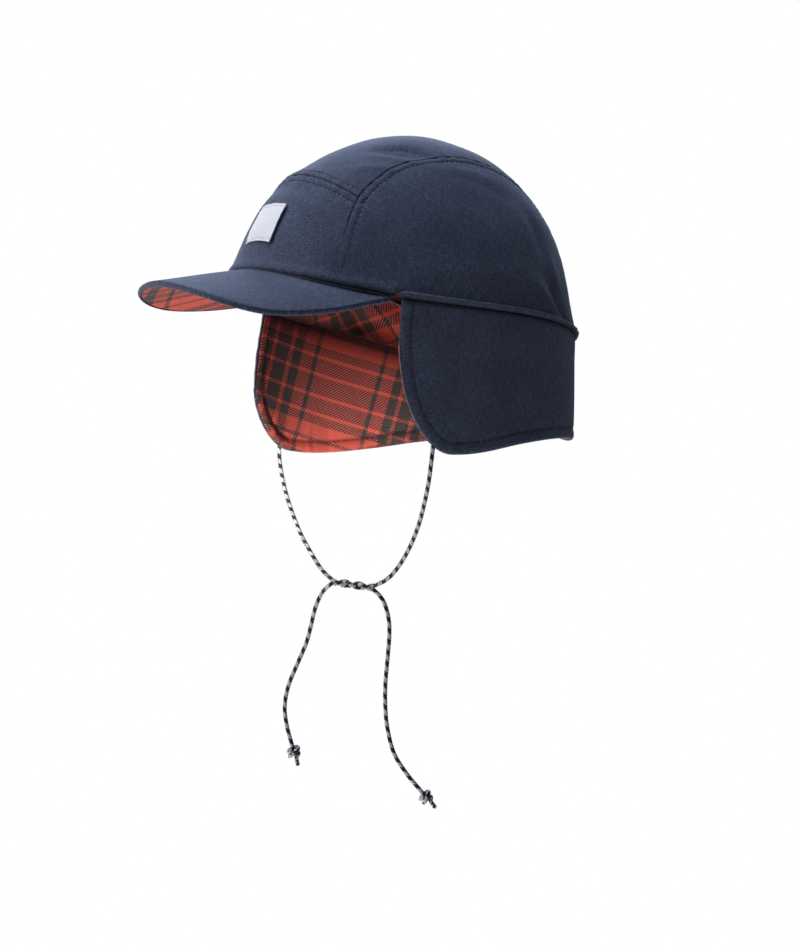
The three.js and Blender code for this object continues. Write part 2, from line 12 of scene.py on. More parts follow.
import bmesh
import bpy
import numpy as np
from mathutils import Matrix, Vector


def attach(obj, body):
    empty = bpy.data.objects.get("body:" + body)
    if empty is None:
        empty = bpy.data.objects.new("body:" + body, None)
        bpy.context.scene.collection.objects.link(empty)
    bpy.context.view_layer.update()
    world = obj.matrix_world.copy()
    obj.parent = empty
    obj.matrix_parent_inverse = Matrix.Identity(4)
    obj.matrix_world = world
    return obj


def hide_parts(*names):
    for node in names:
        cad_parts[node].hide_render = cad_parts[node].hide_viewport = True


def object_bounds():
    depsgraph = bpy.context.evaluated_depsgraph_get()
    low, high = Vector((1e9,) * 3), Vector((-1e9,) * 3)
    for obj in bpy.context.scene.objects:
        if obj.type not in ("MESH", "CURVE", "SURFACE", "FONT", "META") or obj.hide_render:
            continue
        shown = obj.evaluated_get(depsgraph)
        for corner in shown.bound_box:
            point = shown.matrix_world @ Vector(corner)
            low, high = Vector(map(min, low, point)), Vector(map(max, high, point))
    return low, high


bl_info = {
    "name": "Earflap cap",
    "version": (1, 0, 0),
    "blender": (4, 5, 0),
    "location": "3D View > Sidebar > Cap",
    "description": "Builds a plaid-lined earflap cap round its CAD part",
    "category": "Add Mesh",
}

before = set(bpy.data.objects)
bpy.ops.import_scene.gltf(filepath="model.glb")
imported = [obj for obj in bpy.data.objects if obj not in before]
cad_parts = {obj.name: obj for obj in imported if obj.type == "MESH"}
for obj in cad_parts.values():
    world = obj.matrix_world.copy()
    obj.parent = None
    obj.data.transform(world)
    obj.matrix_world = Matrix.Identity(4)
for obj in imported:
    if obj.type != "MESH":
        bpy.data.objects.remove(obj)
CAD_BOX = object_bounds()

MM = 0.001
DEGREE = math.pi / 180
ROUND = 2 * math.pi

# Head opening and crown, as in the part's source
WORN_PITCH = 12 * DEGREE
RIM_HALF_WIDTH = 80.7
RIM_HALF_LENGTH = 100.5
RIM_EGG = 0.08
RIM_SQUARE = 0.024
HEM_DIP = 6
HEM_FLARE = 3
FLARE_FADE = 6
CROWN_HEIGHT = 96.2
CROWN_LEAN = -1.5
CROWN_ROWS = {
    "rise": (0, 0.27, 0.53, 0.765, 0.93, 1),
    "front": (1, 0.94, 0.825, 0.585, 0.301, 0),
    "back": (1, 0.875, 0.767, 0.571, 0.324, 0),
    "side": (1, 0.951, 0.836, 0.642, 0.368, 0),
}
CROWN_BLEND = 3
RISE_PER_SHARE = CROWN_HEIGHT * CROWN_ROWS["rise"][1] * (len(CROWN_ROWS["rise"]) - 1)

# Crown seams on the flat disc whose edge is the hem and whose middle is the top
SEAM_ROWS = {
    "across": (0.653, 0.543, 0.42, 0.345, 0.315, 0.3, 0.295, 0.31, 0.36, 0.42),
    "along": (-0.757, -0.622, -0.472, -0.31, -0.14, 0, 0.16, 0.4, 0.65, 0.907),
}
SEAM_FRONT_TURN = math.atan2(SEAM_ROWS["across"][0], -SEAM_ROWS["along"][0])
SEAM_BACK_TURN = math.atan2(SEAM_ROWS["across"][-1], -SEAM_ROWS["along"][-1])
FRONT_SEAM_AT = 2 / 9
REAR_CORNER_AT = 7 / 9
FRONT_SEAM_PEAK = -0.56
SIDE_HEM_SHARES = (0, 0.2, 4 / 15, 1)

# Cloth, gaps and the roll along the hem
CLOTH = 1.4
FLANNEL = 1.2
GAP = 0.3
WELT_HEIGHT = 3.2
WELT_END_HEIGHT = 0.8
WELT_START = 62 * DEGREE
WELT_FADE = 3 * DEGREE
WELT_BULGE = 1.6
WELT_SPILL = 0.5
WELT_END = {"turn": 0.04, "depth": 0.8}
FLARE_LIFT = CLOTH * HEM_FLARE / FLARE_FADE

# Lining: its loose lower edge by its turn from the front
LINING_GAP = 0.6
LINING_LIFT = 2 * FLARE_LIFT
LINING_SLACK_FADE = 0.08
LINING_LOOSE = 2.4
LINING_ROWS = {
    "turn": np.radians((0, 45, 57, 66, 75, 95, 116, 150, 180)),
    "sag": (0, 0, 0, 5.5, 7, 10, 15, 13, 11),
    "inward": (0, 0, *[LINING_LOOSE] * 7),
}
LINING_SLOUCH = 1.8
LINING_EDGE_FADE = 0.1
LINING_RUN = 100
SHADED_SAG = 7
FOLD_STEPS = 300
FLAP_COVERS = 8 * DEGREE

# Peak
PEAK_TURN = 62 * DEGREE
PEAK_REACH = 51
PEAK_DROP = 21
PEAK_ARCH = 7.5
PEAK_ROUND = 0.027
PEAK_BROAD = 0.08
PEAK_TWIST = 2.7
PEAK_END = 89 * DEGREE
PEAK_THICKNESS = 1.9
PEAK_TUCK = 1.6
PEAK_WRAP = 1.9
PEAK_OVERHANG = 0.8
OVERHANG_FADE = 1.5
WRAP_FADE = 0.3
SET_IN_MOST = 0.9

# Ear and neck flap, spread evenly from each front edge to the middle of the back
FLAP_ROWS = {
    "left": (80, 77.5, 68, 60, 54.5, 45.5),
    "right": (80.5, 81, 75, 64.5, 54, 45.5),
    "lean": (2, 2, 1.5, 1.5, 2, 2),
}
FLAP_FRONT = {
    "left": {"start": 4.5, "swing": 1.3, "corner": 30, "above": 24},
    "right": {"start": 4, "swing": 12.3, "corner": 24, "above": 50},
}
FLAP_SWING_FADE = 50
SWING_POWER = 1.5
LEAN_POWER = 1.5
FLAP_CROWDING = 1.4
HEM_BEFORE = 12 * DEGREE
HEM_STEPS = 600
FLAP_INSET = 0.6
LINING_INSET = 0.6
INSET_FADE = 10
FLAP_CALM = {"from": 12, "over": 40, "sink": 0.3}

LABEL_WIDTH = 25
LABEL_HEIGHT = 22.6
LABEL_THICKNESS = 0.62
LABEL_CENTRE = 0.21
LABEL_DIP = 0.6
LABEL_LOOSE = {"base": 0.22, "side": 0.9, "sway": 0.1, "sways": 9}
LABEL_RIPPLE = {"height": 0.18, "count": 17, "shift": 0.6, "power": 8}

# Cords: the same routes as the part's, in millimetres, and where they meet and part again
TIE_LEFT = (11.4, -25.8, -151.2)
TIE_RIGHT = (-11.4, -38.7, -148.7)
CORDS = {
    "left": {
        "run": (
            (71.6, -28.6, -73.9), (70.8, -29.1, -81.4), (66.9, -28, -91.5), (59.5, -25.6, -103),
            (49.5, -22.6, -115.5), (38, -20.8, -128.5), (27, -20.8, -139.5), (19, -22.8, -146.4),
        ),
        "tie": (TIE_LEFT, TIE_RIGHT),
        "tail": (
            (-16.2, -41.4, -154.6), (-20, -43.6, -163), (-22.4, -45, -173), (-25, -46.5, -183),
            (-30.1, -49.4, -195.5), (-34.8, -52.1, -207.5), (-36.8, -53.3, -219),
            (-35.6, -52.6, -230), (-32.6, -50.9, -241),
        ),
    },
    "right": {
        "run": (
            (-71.3, -35.4, -77.5), (-70.6, -35.6, -83.2), (-66.4, -36.5, -93), (-56, -39, -106),
            (-41.5, -40.8, -122), (-29.5, -40.8, -133.5), (-19.4, -40.2, -142.3),
        ),
        "tie": (TIE_RIGHT, TIE_LEFT),
        "tail": (
            (15.9, -22.9, -158), (18.6, -21.3, -166.8), (19.2, -21, -176), (18.3, -21.5, -188.5),
            (17.1, -22.2, -203.5), (17.1, -22.2, -216.6), (18.2, -21.5, -228),
            (21.6, -19.6, -241), (28.4, -15.6, -252), (36.4, -11, -261.4),
        ),
    },
}
ROUTE_STEPS = 24
TWIST_TURNS = 1.5
TWIST_RADIUS = 1.22
TWIST_STEPS = 15
CORD_SHOWS = (0.83, -0.56, 0)
CORD_SPACING = 0.45
CORD_SIDES = 24
CORD_RISE = 1.8
BRAID = {"least": 0.97, "fuller": 0.08}

# Overhand knot: turn in degrees, distance from the cord's own line and place along it
KNOT_TURNS = (
    (0, 0.0, -1.0), (0, 0.1, 0.0), (20, 1.3, 1.0), (70, 2.7, 1.9), (130, 2.95, 2.0), (190, 2.9, 1.6),
    (250, 2.9, 1.5), (310, 2.9, 2.0), (370, 2.95, 2.9), (430, 2.9, 4.0), (490, 2.85, 4.6), (550, 2.8, 4.5),
    (610, 2.6, 4.4), (660, 1.9, 5.2), (690, 0.8, 6.2), (700, 0.3, 7.4), (700, 0.2, 9.5), (700, 0.3, 11.4),
)
KNOT_SPACING = 0.4
KNOT_TILT = {"slope": 0.28, "turn": 0.6, "beyond": 1.5}
KNOT_TAPER = {"length": 0.9, "least": 0.02}

# Folds and painted shade beside a seam fade where the cloth lies flat, from one height along it to another
FAINT_FROM = 22
FAINT_TO = 38
FAINT_LEAST = 0.12

# Stitches and gathers. A pair is a height and the seed of its draw
SEAM_STITCH = 4.0
EDGE_STITCH = 6.2
PUCKER_LENGTH = 9
PUCKER_FADE = 8
PUCKER_SHARES = (1, 1.37, 0.71)
SEAM_PUCKER = 0.24
FLAP_PUCKER = (0.2, 40)
QUILT_PUCKER = (0.2, 41)

# Rows of stitches: first and last share of a seam with the number of points, then grids, places and depths
SIDE_ROW = (0.02, 0.985, 240)
FRONT_ROW = (0.01, 0.99, 80)
FLAP_ROW_GRID = (150, 60)
FLAP_ROW_START = 4
SAME_POINT = 0.05
LABEL_ROW_GRID = (40, 45)
LABEL_ROW_COLUMNS = 0.47
LABEL_ROWS_AT = (3, 41)
CROWN_RADIUS = 90
THREAD_DEPTH = {"crown": 0.06, "flap": 0.22, "lining": 0.7, "label": 0.5}

# Humps and grooves of the cloth, and painted shade, beside an edge: distance from it, width and height
SEAM_SHADE = (0, 0.5, 0.55)
SEAM_GROOVE = (SEAM_STITCH, 0.8, -0.3)
SEAM_SWELL = (SEAM_STITCH / 2, SEAM_STITCH / math.sqrt(6), 0.16)
BROW_SWELL = (3, 2.5, 0.5)
BROW_SHADE = (0, 1.3, 0.9)
WELT_SHADE = (0, 0.7, 0.85)
LINING_SHADE = (0, 5, 0.9)
PEAK_SHADE = (0, 2.9, 0.9)
FLAP_GROOVE = (EDGE_STITCH, 0.9, -0.4)
FLAP_SWELL = (2.9, 1.9, 0.3)
FLAP_TUCK = (0, 1.6, -0.5)
FLAP_SHADE = (0, 1.1, 0.9)
GROOVE_SHADE = (EDGE_STITCH, 0.7, 0.18)
QUILT_GROOVE = (EDGE_STITCH, 1.7, -0.8)
QUILT_SWELL = (2.9, 1.9, 0.5)
QUILT_SHADE = (EDGE_STITCH, 1.1, 0.5)
FOLD_SHADE = (0, 10, 0.96)
LABEL_SEAM = (0.43, 0.03, -0.18)
NOSE_SHADE = {"width": 2.2, "height": 0.3, "power": 4}

# Rolled edges: radius and depth
SEAM_ROLL = (1.0, 0.7)
BROW_ROLL = (2.6, 1.15)
WELT_ROLL = (1.2, 1.3)
LINING_TUCK = (3.6, 2.1)
LINING_ROLL = (1.2, 0.6)
FLAP_ROLL = (1.5, 1.25)
QUILT_ROLL = (1.4, 1.05)

# Soft folds and dents of the crown: where on the disc, the way they run in degrees, and their size
Fold = namedtuple("Fold", "across along turn length width height")
CROWN_FOLDS = [Fold(*row) for row in (
    (0.25, -0.24, 60, 16, 5.5, -3.0),
    (0.31, -0.36, 65, 16, 5, 1.0),
    (0.0, -0.545, 0, 42, 7, 1.0),
    (0.02, -0.625, 0, 30, 6, -1.0),
    (0.2, -0.6, -12, 18, 6, -0.8),
    (0.4, -0.05, 85, 18, 6, 0.7),
    (0.46, 0.03, 70, 16, 6, -0.6),
    (0.6, 0.28, 40, 22, 7, -2.2),
    (0.66, 0.36, 40, 22, 6, 1.9),
    (0.79, 0.45, 60, 18, 5, -2.2),
    (0.84, 0.36, 70, 20, 5, 1.6),
    (0.66, -0.42, 20, 35, 12, -0.7),
    (0.86, -0.1, 95, 40, 9, 0.6),
    (-0.5, -0.2, 70, 30, 9, -0.9),
    (-0.7, 0.3, 50, 26, 8, 0.8),
    (-0.25, 0.6, 10, 30, 9, -0.8),
    (0.15, 0.75, -10, 30, 8, 0.8),
)]
FOLD_FALL = 1.6

# Undulations: height, squeeze from top to bottom, size and seed of the draw
CROWN_WAVES = ((0.35, 1, 70, 3), (0.16, 1, 26, 8))
LINING_WAVES = ((1.3, 2.2, 34, 21), (0.5, 1, 15, 5))
PEAK_WAVES = ((0.18, 1, 45, 31),)
FLAP_WAVES = ((0.9, 0.35, 95, 12), (0.28, 0.6, 32, 4))
WAVE_COUNT = 7
WAVE_PITCHES = (0.6, 1.3)
WAVE_SUM = 2.6

# Gathers of the welt: height, length and phase
WELT_GATHERS = ((0.1, 8.3, 0), (0.08, 13.1, 1))

# Mesh: columns and rows of each piece, and how much they crowd towards the edges
FRONT_GRID = (150, 90)
TOP_GRID = (110, 200)
SIDE_GRID = (186, 122)
PANEL_CROWDING = 0.7
WELT_GRID = (500, 30)
WELT_CROWDING = 0.6
LINING_GRID = (370, 96)
LINING_HANGS = 30
LINING_CROWDING = 1.15
PEAK_GRID = (240, 80)
PEAK_CROWDING = (0.5, 0.9)
FLAP_GRID = (190, 74)
DROP_CROWDING = 0.8
LABEL_GRID = (46, 44)

# Mesh making, and the painted shade, nearly black, of a face that lies hidden against another wall
POINTS_AT_ONCE = 2000
THINNED = 0.1
MERGED = 2e-6
SHARP = 65 * DEGREE
IN_THE_DARK = 0.95

# Plaid of the flannel: colour and width of each stripe, in millimetres
WEFT_STRIPES = (
    ("red", 7.5), ("dark", 1.9), ("red", 7.5), ("dark", 5.2), ("red", 1.9), ("dark", 8.2),
    ("red", 1.9), ("dark", 10.4), ("red", 1.9), ("dark", 8.2), ("red", 1.9), ("dark", 5.2),
)
WARP_STRIPES = (
    ("dark", 2.6), ("red", 7.8), ("dark", 5.6), ("red", 2.9), ("dark", 8.2), ("red", 2.9),
    ("dark", 5.6), ("red", 7.8), ("dark", 2.6), ("red", 39.0),
)
FLAP_PLAID = {"warp": 16.8, "weft": 14.3, "shift": (185.3, 22.5)}
FLAP_EASE = {"from": -84.6, "growth": 0.00292}
CROWN_PLAID = {"warp": -36.5, "weft": -22, "shift": (0.8, 41.6)}
CROWN_DRIFT = {"across": 60, "along": 9}
PEAK_PLAID = {"warp": -70, "weft": -70, "shift": (4.2, 24)}

# Kinds of node that are added often
MATH = "ShaderNodeMath"
MIX = "ShaderNodeMix"
NOISE = "ShaderNodeTexNoise"
RANGE = "ShaderNodeMapRange"

# Lights in metres and watts, and the camera
CAP_MIDDLE = (0, 0, -0.02)
PLAIN = (1, 1, 1)
COOL = (0.88, 1.0, 1.2)
Light = namedtuple("Light", "place aim size power colour spread")
LIGHTS = {
    "top_box": Light((-0.3, -0.4, 2.2), CAP_MIDDLE, 1.8, 40, COOL, math.pi),
    "front_left_box": Light((-1.3, -1.9, 1.1), CAP_MIDDLE, 1.4, 30, PLAIN, math.pi),
    "back_left_box": Light((-1.6, 1.2, 1.2), CAP_MIDDLE, 1.4, 41, COOL, math.pi),
    "low_left_box": Light((-2.0, -0.6, -0.9), CAP_MIDDLE, 1.2, 20, PLAIN, math.pi),
    "low_right_box": Light((1.6, -1.2, -1.0), CAP_MIDDLE, 1.2, 3, PLAIN, math.pi),
    "low_front_box": Light((0.1, -1.2, -1.0), CAP_MIDDLE, 0.8, 6.5, PLAIN, math.pi),
    "inner_snoot": Light((0.38, -0.81, -0.1), (-0.072, -0.035, -0.105), 0.06, 0.054, PLAIN, 10 * DEGREE),
}
VIEW_MIDDLE = (0, 0, -0.0907)
VIEW_SHIFT = 0.0009
VIEW_FAR = 200
SENSOR_WIDTH = 36
FLOOR_REACH = 1.9
FLOOR_SIDES = 96


# Settings that a user would change


def linear(hex_colour):
    """A colour such as "#3a4358" as linear red, green and blue."""
    parts = [int(hex_colour[i : i + 2], 16) / 255 for i in (1, 3, 5)]
    return tuple(v / 12.92 if v <= 0.04045 else ((v + 0.055) / 1.055) ** 2.4 for v in parts)


def a_colour(name, about, value):
    return bpy.props.FloatVectorProperty(name=name, description=about, subtype="COLOR", default=linear(value))


def a_number(name, about, value, subtype="NONE"):
    return bpy.props.FloatProperty(name=name, description=about, subtype=subtype, default=value)


class ClothSettings(bpy.types.PropertyGroup):
    shade: a_colour("Shade", "Darkest yarn of the twill", "#292e41")
    body: a_colour("Body", "Main yarn of the twill", "#40465a")
    fleck: a_colour("Fleck", "Pale slubs in the twill", "#6a7490")
    slub: a_colour("Slub", "Nearly white specks in the twill", "#8f98b0")
    twill_pitch: a_number("Twill pitch", "Distance between twill ribs", 0.0011, "DISTANCE")


class PlaidSettings(bpy.types.PropertyGroup):
    red: a_colour("Red", "Red yarn of the flannel", "#de6352")
    charcoal: a_colour("Charcoal", "Dark yarn of the flannel", "#4a4643")
    hatch_pitch: a_number("Hatch pitch", "Distance between twill lines on the hatch", 0.00135, "DISTANCE")


class StitchSettings(bpy.types.PropertyGroup):
    length: a_number("Length", "Length of one stitch", 0.0024, "DISTANCE")
    gap: a_number("Gap", "Cloth between two stitches", 0.0008, "DISTANCE")
    width: a_number("Width", "Thickness of the thread", 0.00055, "DISTANCE")
    thread: a_colour("Thread", "Thread of the topstitching", "#2a3044")
    label_thread: a_colour("Label thread", "Thread that holds the label", "#d8dae6")


class CordSettings(bpy.types.PropertyGroup):
    diameter: a_number("Diameter", "Thickness of the tie cords", 0.0023, "DISTANCE")
    strands: bpy.props.IntProperty(
        name="Strands", description="Yarns that run each way round the braid", default=4, min=2
    )
    plait: a_number("Plait", "Length of one crossing of the braid", 0.0015, "DISTANCE")
    black: a_colour("Black", "Dark yarn of the braid", "#1c1b1f")
    grey: a_colour("Grey", "Pale yarn of the braid", "#cdced3")


class StageSettings(bpy.types.PropertyGroup):
    azimuth: a_number("Azimuth", "Camera's turn round the cap", 56 * DEGREE, "ANGLE")
    elevation: a_number("Elevation", "Camera's height above level", 2.3 * DEGREE, "ANGLE")
    distance: a_number("Distance", "Camera to the cap's middle", 1.557, "DISTANCE")
    lens: a_number("Lens", "Focal length in millimetres", 106.9)
    floor_drop: a_number("Floor drop", "How far the floor is below the lowest knot", 1.1, "DISTANCE")
    dim: a_number("Dim", "Light that the surroundings give, against how bright they look", 0.08)
    pale: a_colour("Pale", "Floor and surroundings", "#ffffff")


class CapSettings(bpy.types.PropertyGroup):
    cloth: bpy.props.PointerProperty(type=ClothSettings)
    plaid: bpy.props.PointerProperty(type=PlaidSettings)
    stitch: bpy.props.PointerProperty(type=StitchSettings)
    cord: bpy.props.PointerProperty(type=CordSettings)
    stage: bpy.props.PointerProperty(type=StageSettings)


# Shape of the cap, in millimetres


def unit(vectors):
    """The same directions with length 1."""
    return vectors / np.maximum(np.linalg.norm(vectors, axis=-1, keepdims=True), 1e-9)


def lengths(line):
    """How far along a line each of its points is."""
    return np.concatenate([[0], np.cumsum(np.linalg.norm(np.diff(line, axis=0), axis=1))])


def catmull(a, b, c, d, f):
    """Catmull-Rom value a share f of the way from b to c."""
    return 0.5 * (2 * b + (c - a) * f + (2 * a - 5 * b + 4 * c - d) * f**2 + (3 * b - a - 3 * c + d) * f**3)


def smooth_value(values, share, mirror=0):
    """Catmull-Rom value at each share of an evenly spread row of values."""
    values = np.array(values, float)
    last = len(values) - 1
    after = 2 * values[-1] - values[-2] if mirror == 0 else mirror * values[-2]
    padded = np.concatenate([[2 * values[0] - values[1]], values, [after]])
    spread = np.clip(share, 0, 1) * last
    i = np.minimum(np.floor(spread).astype(int), last - 1)
    return catmull(*(padded[i + k] for k in range(4)), spread - i)


def smooth_interp(value, at, values):
    """Interpolation with its corners rounded off."""
    spread = 6 * DEGREE
    shifts = (-1, -0.5, 0, 0.5, 1)
    return sum(np.interp(value + k * spread, at, values) for k in shifts) / len(shifts)


def rim_x(turn):
    return RIM_HALF_WIDTH * (np.sin(turn) - RIM_EGG / 2 * np.sin(2 * turn))


def rim_y(turn):
    return -RIM_HALF_LENGTH * (np.cos(turn) - RIM_SQUARE * np.cos(3 * turn)) / (1 - RIM_SQUARE)


def rim_out(turn):
    """Level direction that points out of the rim."""
    step = 0.002
    dx = rim_x(turn + step) - rim_x(turn - step)
    dy = rim_y(turn + step) - rim_y(turn - step)
    return unit(np.stack([dy, -dx, np.zeros_like(dx)], -1))


def hem_rise(turn):
    return HEM_DIP * (np.cos(3 * turn) - np.cos(turn)) / 2


def from_front(turn):
    """Turn from the front, on either side."""
    turn = np.mod(turn, ROUND)
    return np.minimum(turn, ROUND - turn)


def front_share(turn):
    return np.maximum(np.cos(turn), 0) ** 2


def crown_point(place):
    """Outer face of the crown at places on the disc, square to the hem."""
    across, along = place[..., 0], place[..., 1]
    turn = np.arctan2(across, -along)
    share = 1 - np.hypot(across, along)
    rise = smooth_value(CROWN_ROWS["rise"], share, 1)
    ahead = 0.5 * (1 + np.tanh(CROWN_BLEND * np.cos(turn)))
    front, back, side = (smooth_value(CROWN_ROWS[key], share, -1) for key in ("front", "back", "side"))
    height = CROWN_HEIGHT * rise
    flare = HEM_FLARE * front_share(turn) * np.exp(-height / FLARE_FADE)
    y = rim_y(turn) * (back + (front - back) * ahead) + CROWN_LEAN * rise - flare
    return np.stack([rim_x(turn) * side, y, height + hem_rise(turn) * (1 - rise)], -1)


def crown_normal(place):
    """Outward direction of the crown at places on the disc."""
    step = 0.004
    dx = crown_point(place + [step, 0]) - crown_point(place - [step, 0])
    dy = crown_point(place + [0, step]) - crown_point(place - [0, step])
    return unit(np.cross(dx, dy))


def worn(points):
    """Tips points back from square to the hem to as the cap is worn."""
    c, s = math.cos(WORN_PITCH), math.sin(WORN_PITCH)
    x, y, z = np.moveaxis(np.asarray(points, float), -1, 0)
    return np.stack([x, y * c + z * s, z * c - y * s], -1)


def crown_face(place):
    """The crown's outer face as worn, and its outward direction."""
    return worn(crown_point(place)), worn(crown_normal(place))


def on_disc(turn, share):
    """Place on the disc, this share of the way from its middle to the hem."""
    return np.stack([share * np.sin(turn), -share * np.cos(turn)], -1)


def disc_turn(place):
    """Turn from the front of a place on the disc."""
    return np.arctan2(place[..., 0], -place[..., 1])


def welt_growth(turn):
    return np.clip((from_front(turn) - WELT_START) / WELT_FADE, 0, 1)


def hem_clearance(turn):
    """How far above the hem a panel ends: on the peak's seam in front, and on the welt behind."""
    return welt_growth(turn) * WELT_HEIGHT


def hem_place(turn):
    """Where a panel's lower edge is."""
    return on_disc(turn, 1 - hem_clearance(turn) / RISE_PER_SHARE)


def hem_stretch(start, end, share):
    return hem_place(start + (end - start) * share)


def seam_place(share):
    return np.stack([smooth_value(SEAM_ROWS[key], share) for key in ("across", "along")], -1)


def seam_stretch(start, end, share):
    """Side seam between two of its shares, started clear of the hem."""
    place = seam_place(start + (end - start) * share)
    length = np.linalg.norm(place, axis=-1, keepdims=True)
    limit = 1 - hem_clearance(disc_turn(place)) / RISE_PER_SHARE
    return place * np.minimum(1, limit[..., None] / length)


def front_seam(share):
    """The front panel's top seam, from the right to the left."""
    corner = seam_place(np.array(FRONT_SEAM_AT))
    bow = 1 - (2 * share - 1) ** 2
    return np.stack([corner[0] * (2 * share - 1), corner[1] + (FRONT_SEAM_PEAK - corner[1]) * bow], -1)


def mirrored(place):
    return place * [-1, 1]


def crowded(count, strength=PANEL_CROWDING):
    """Shares from 0 to 1 that crowd towards both ends, where the edges roll."""
    t = np.linspace(0, 1, count)
    return t - strength * np.sin(ROUND * t) / ROUND


def patch(bottom, top, start, end, u, v):
    """Fills four edges on the disc."""
    u, v = u[:, None], v[None, :]
    uu, vv = (u + 0 * v)[..., None], (v + 0 * u)[..., None]
    place = bottom(uu[..., 0]) * (1 - vv) + top(uu[..., 0]) * vv
    place = place + start(vv[..., 0]) * (1 - uu) + end(vv[..., 0]) * uu
    for a, weight_a in ((0.0, 1 - uu), (1.0, uu)):
        for edge, weight_b in ((bottom, 1 - vv), (top, vv)):
            place = place - edge(np.array(a)) * weight_a * weight_b
    return place


def soft_waves(points, size, seed):
    """Smooth undulation, mostly between -1 and 1, with features of about this size."""
    rng = np.random.default_rng(seed)
    total = 0
    for _ in range(WAVE_COUNT):
        way = unit(rng.normal(size=3))
        pitch = ROUND / size * rng.uniform(*WAVE_PITCHES)
        total = total + np.sin(points @ way * pitch + rng.uniform(0, ROUND))
    return total / WAVE_SUM


def waves(points, rows):
    """Undulations of several sizes."""
    return sum(tall * soft_waves(points * [1, 1, squeeze], size, seed) for tall, squeeze, size, seed in rows)


def crown_relief(points):
    """Height of the crown's folds and undulations over its smooth shape."""
    height = waves(points, CROWN_WAVES)
    step = [0.01, 0]
    for fold in CROWN_FOLDS:
        place = np.array([fold.across, fold.along])
        middle, out = crown_face(place)
        across = unit(worn(crown_point(place + step) - crown_point(place - step)))
        along = np.cross(out, across)
        way = across * math.cos(fold.turn * DEGREE) + along * math.sin(fold.turn * DEGREE)
        offset = points - middle
        reach = (offset @ way / fold.length) ** 2 + (offset @ np.cross(out, way) / fold.width) ** 2
        height = height + fold.height * np.exp(-reach * FOLD_FALL)
    return height


def nearest(points, line):
    """Distance from each point to the nearest point of a line, and how far along the line that is."""
    flat = points.reshape(-1, 3)
    along = lengths(line)
    distance, place = np.empty(len(flat)), np.empty(len(flat))
    for i in range(0, len(flat), POINTS_AT_ONCE):
        some = slice(i, i + POINTS_AT_ONCE)
        gaps = np.linalg.norm(flat[some, None] - line[None], axis=2)
        best = gaps.argmin(1)
        distance[some] = gaps[np.arange(len(best)), best]
        place[some] = along[best]
    return distance.reshape(points.shape[:-1]), place.reshape(points.shape[:-1])


def hump(distance, at, width, height):
    """A smooth hump, or a groove where its height is negative, at a distance from an edge."""
    return height * np.exp(-(((distance - at) / width) ** 2))


def rolled(distance, radius, depth):
    """How far a cloth edge turns down within a radius of the edge."""
    near = 1 - np.clip(distance / radius, 0, 1)
    return -depth * (1 - np.sqrt(np.maximum(1 - near**2, 0)))


def puckers(distance, along, height, seed):
    """Small gathers that run square to a row of stitches and die away from it."""
    rng = np.random.default_rng(seed)
    wave = 0
    for share in PUCKER_SHARES:
        wave = wave + np.sin(ROUND * along / PUCKER_LENGTH * share + rng.uniform(0, ROUND))
    return height * wave / 2 * np.exp(-distance / PUCKER_FADE)


# Mesh making


def add_object(name, data):
    """Puts new data into the scene."""
    made = bpy.data.objects.new(name, data)
    bpy.context.scene.collection.objects.link(made)
    return made


def grid_faces(columns, rows):
    """Numbers of a grid's points, and its square faces."""
    index = np.arange(columns * rows).reshape(columns, rows)
    corners = (index[:-1, :-1], index[1:, :-1], index[1:, 1:], index[:-1, 1:])
    return index, np.stack(corners, -1).reshape(-1, 4)


def new_piece(name, points, faces, uv, crease=None):
    """A piece from points and a pattern map in millimetres, and a painted shade for each point: how far its
    colour is darkened where shade falls.
    """
    mesh = bpy.data.meshes.new(name)
    mesh.from_pydata((np.asarray(points) * MM).tolist(), [], [list(map(int, f)) for f in faces])
    corners = np.empty(len(mesh.loops), int)
    mesh.loops.foreach_get("vertex_index", corners)
    layer = mesh.uv_layers.new(name="pattern")
    layer.data.foreach_set("uv", np.asarray(uv, np.float32)[corners].ravel())
    # Painted shade of each point, which the materials mix towards near-black
    if crease is not None:
        deep = mesh.attributes.new("crease", "FLOAT", "POINT")
        deep.data.foreach_set("value", np.asarray(crease, np.float32).ravel())
    mesh.polygons.foreach_set("use_smooth", [True] * len(mesh.polygons))
    mesh.validate()
    work = bmesh.new()
    work.from_mesh(mesh)
    bmesh.ops.remove_doubles(work, verts=work.verts, dist=MERGED)
    work.to_mesh(mesh)
    work.free()
    return add_object(name, mesh)


def wall_piece(name, outer, inner, uv, crease=0, wraps=False):
    """Closed cloth wall between two grids of points, whose last column may meet its first."""
    columns, rows = outer.shape[:2]
    index, quads = grid_faces(columns, rows)

    def edge_faces(line, order):
        corners = (line[:-1], line[1:], line[1:] + index.size, line[:-1] + index.size)
        return np.stack([corners[k] for k in order], -1)

    outward, inward = (0, 1, 2, 3), (0, 3, 2, 1)
    faces = [quads, quads[:, ::-1] + index.size]
    faces += [edge_faces(index[:, 0], inward), edge_faces(index[:, -1], outward)]
    if not wraps:
        faces += [edge_faces(index[0], outward), edge_faces(index[-1], inward)]
    points = np.concatenate([outer.reshape(-1, 3), inner.reshape(-1, 3)])
    both = np.concatenate([uv.reshape(-1, 2)] * 2)
    deep = np.broadcast_to(crease, (2, columns, rows))
    piece = new_piece(name, points, np.concatenate(faces), both, deep)
    piece.data.set_sharp_from_angle(angle=SHARP)
    return piece


def arc_map(points):
    """Pattern map that follows the cloth: along each row from its middle, and up each column."""
    u, v = (np.cumsum(np.linalg.norm(np.diff(points, axis=k), axis=2), axis=k) for k in (0, 1))
    u = np.concatenate([np.zeros((1, points.shape[1])), u])
    v = np.concatenate([np.zeros((points.shape[0], 1)), v], axis=1)
    return np.stack([u - u[len(u) // 2], v], -1)


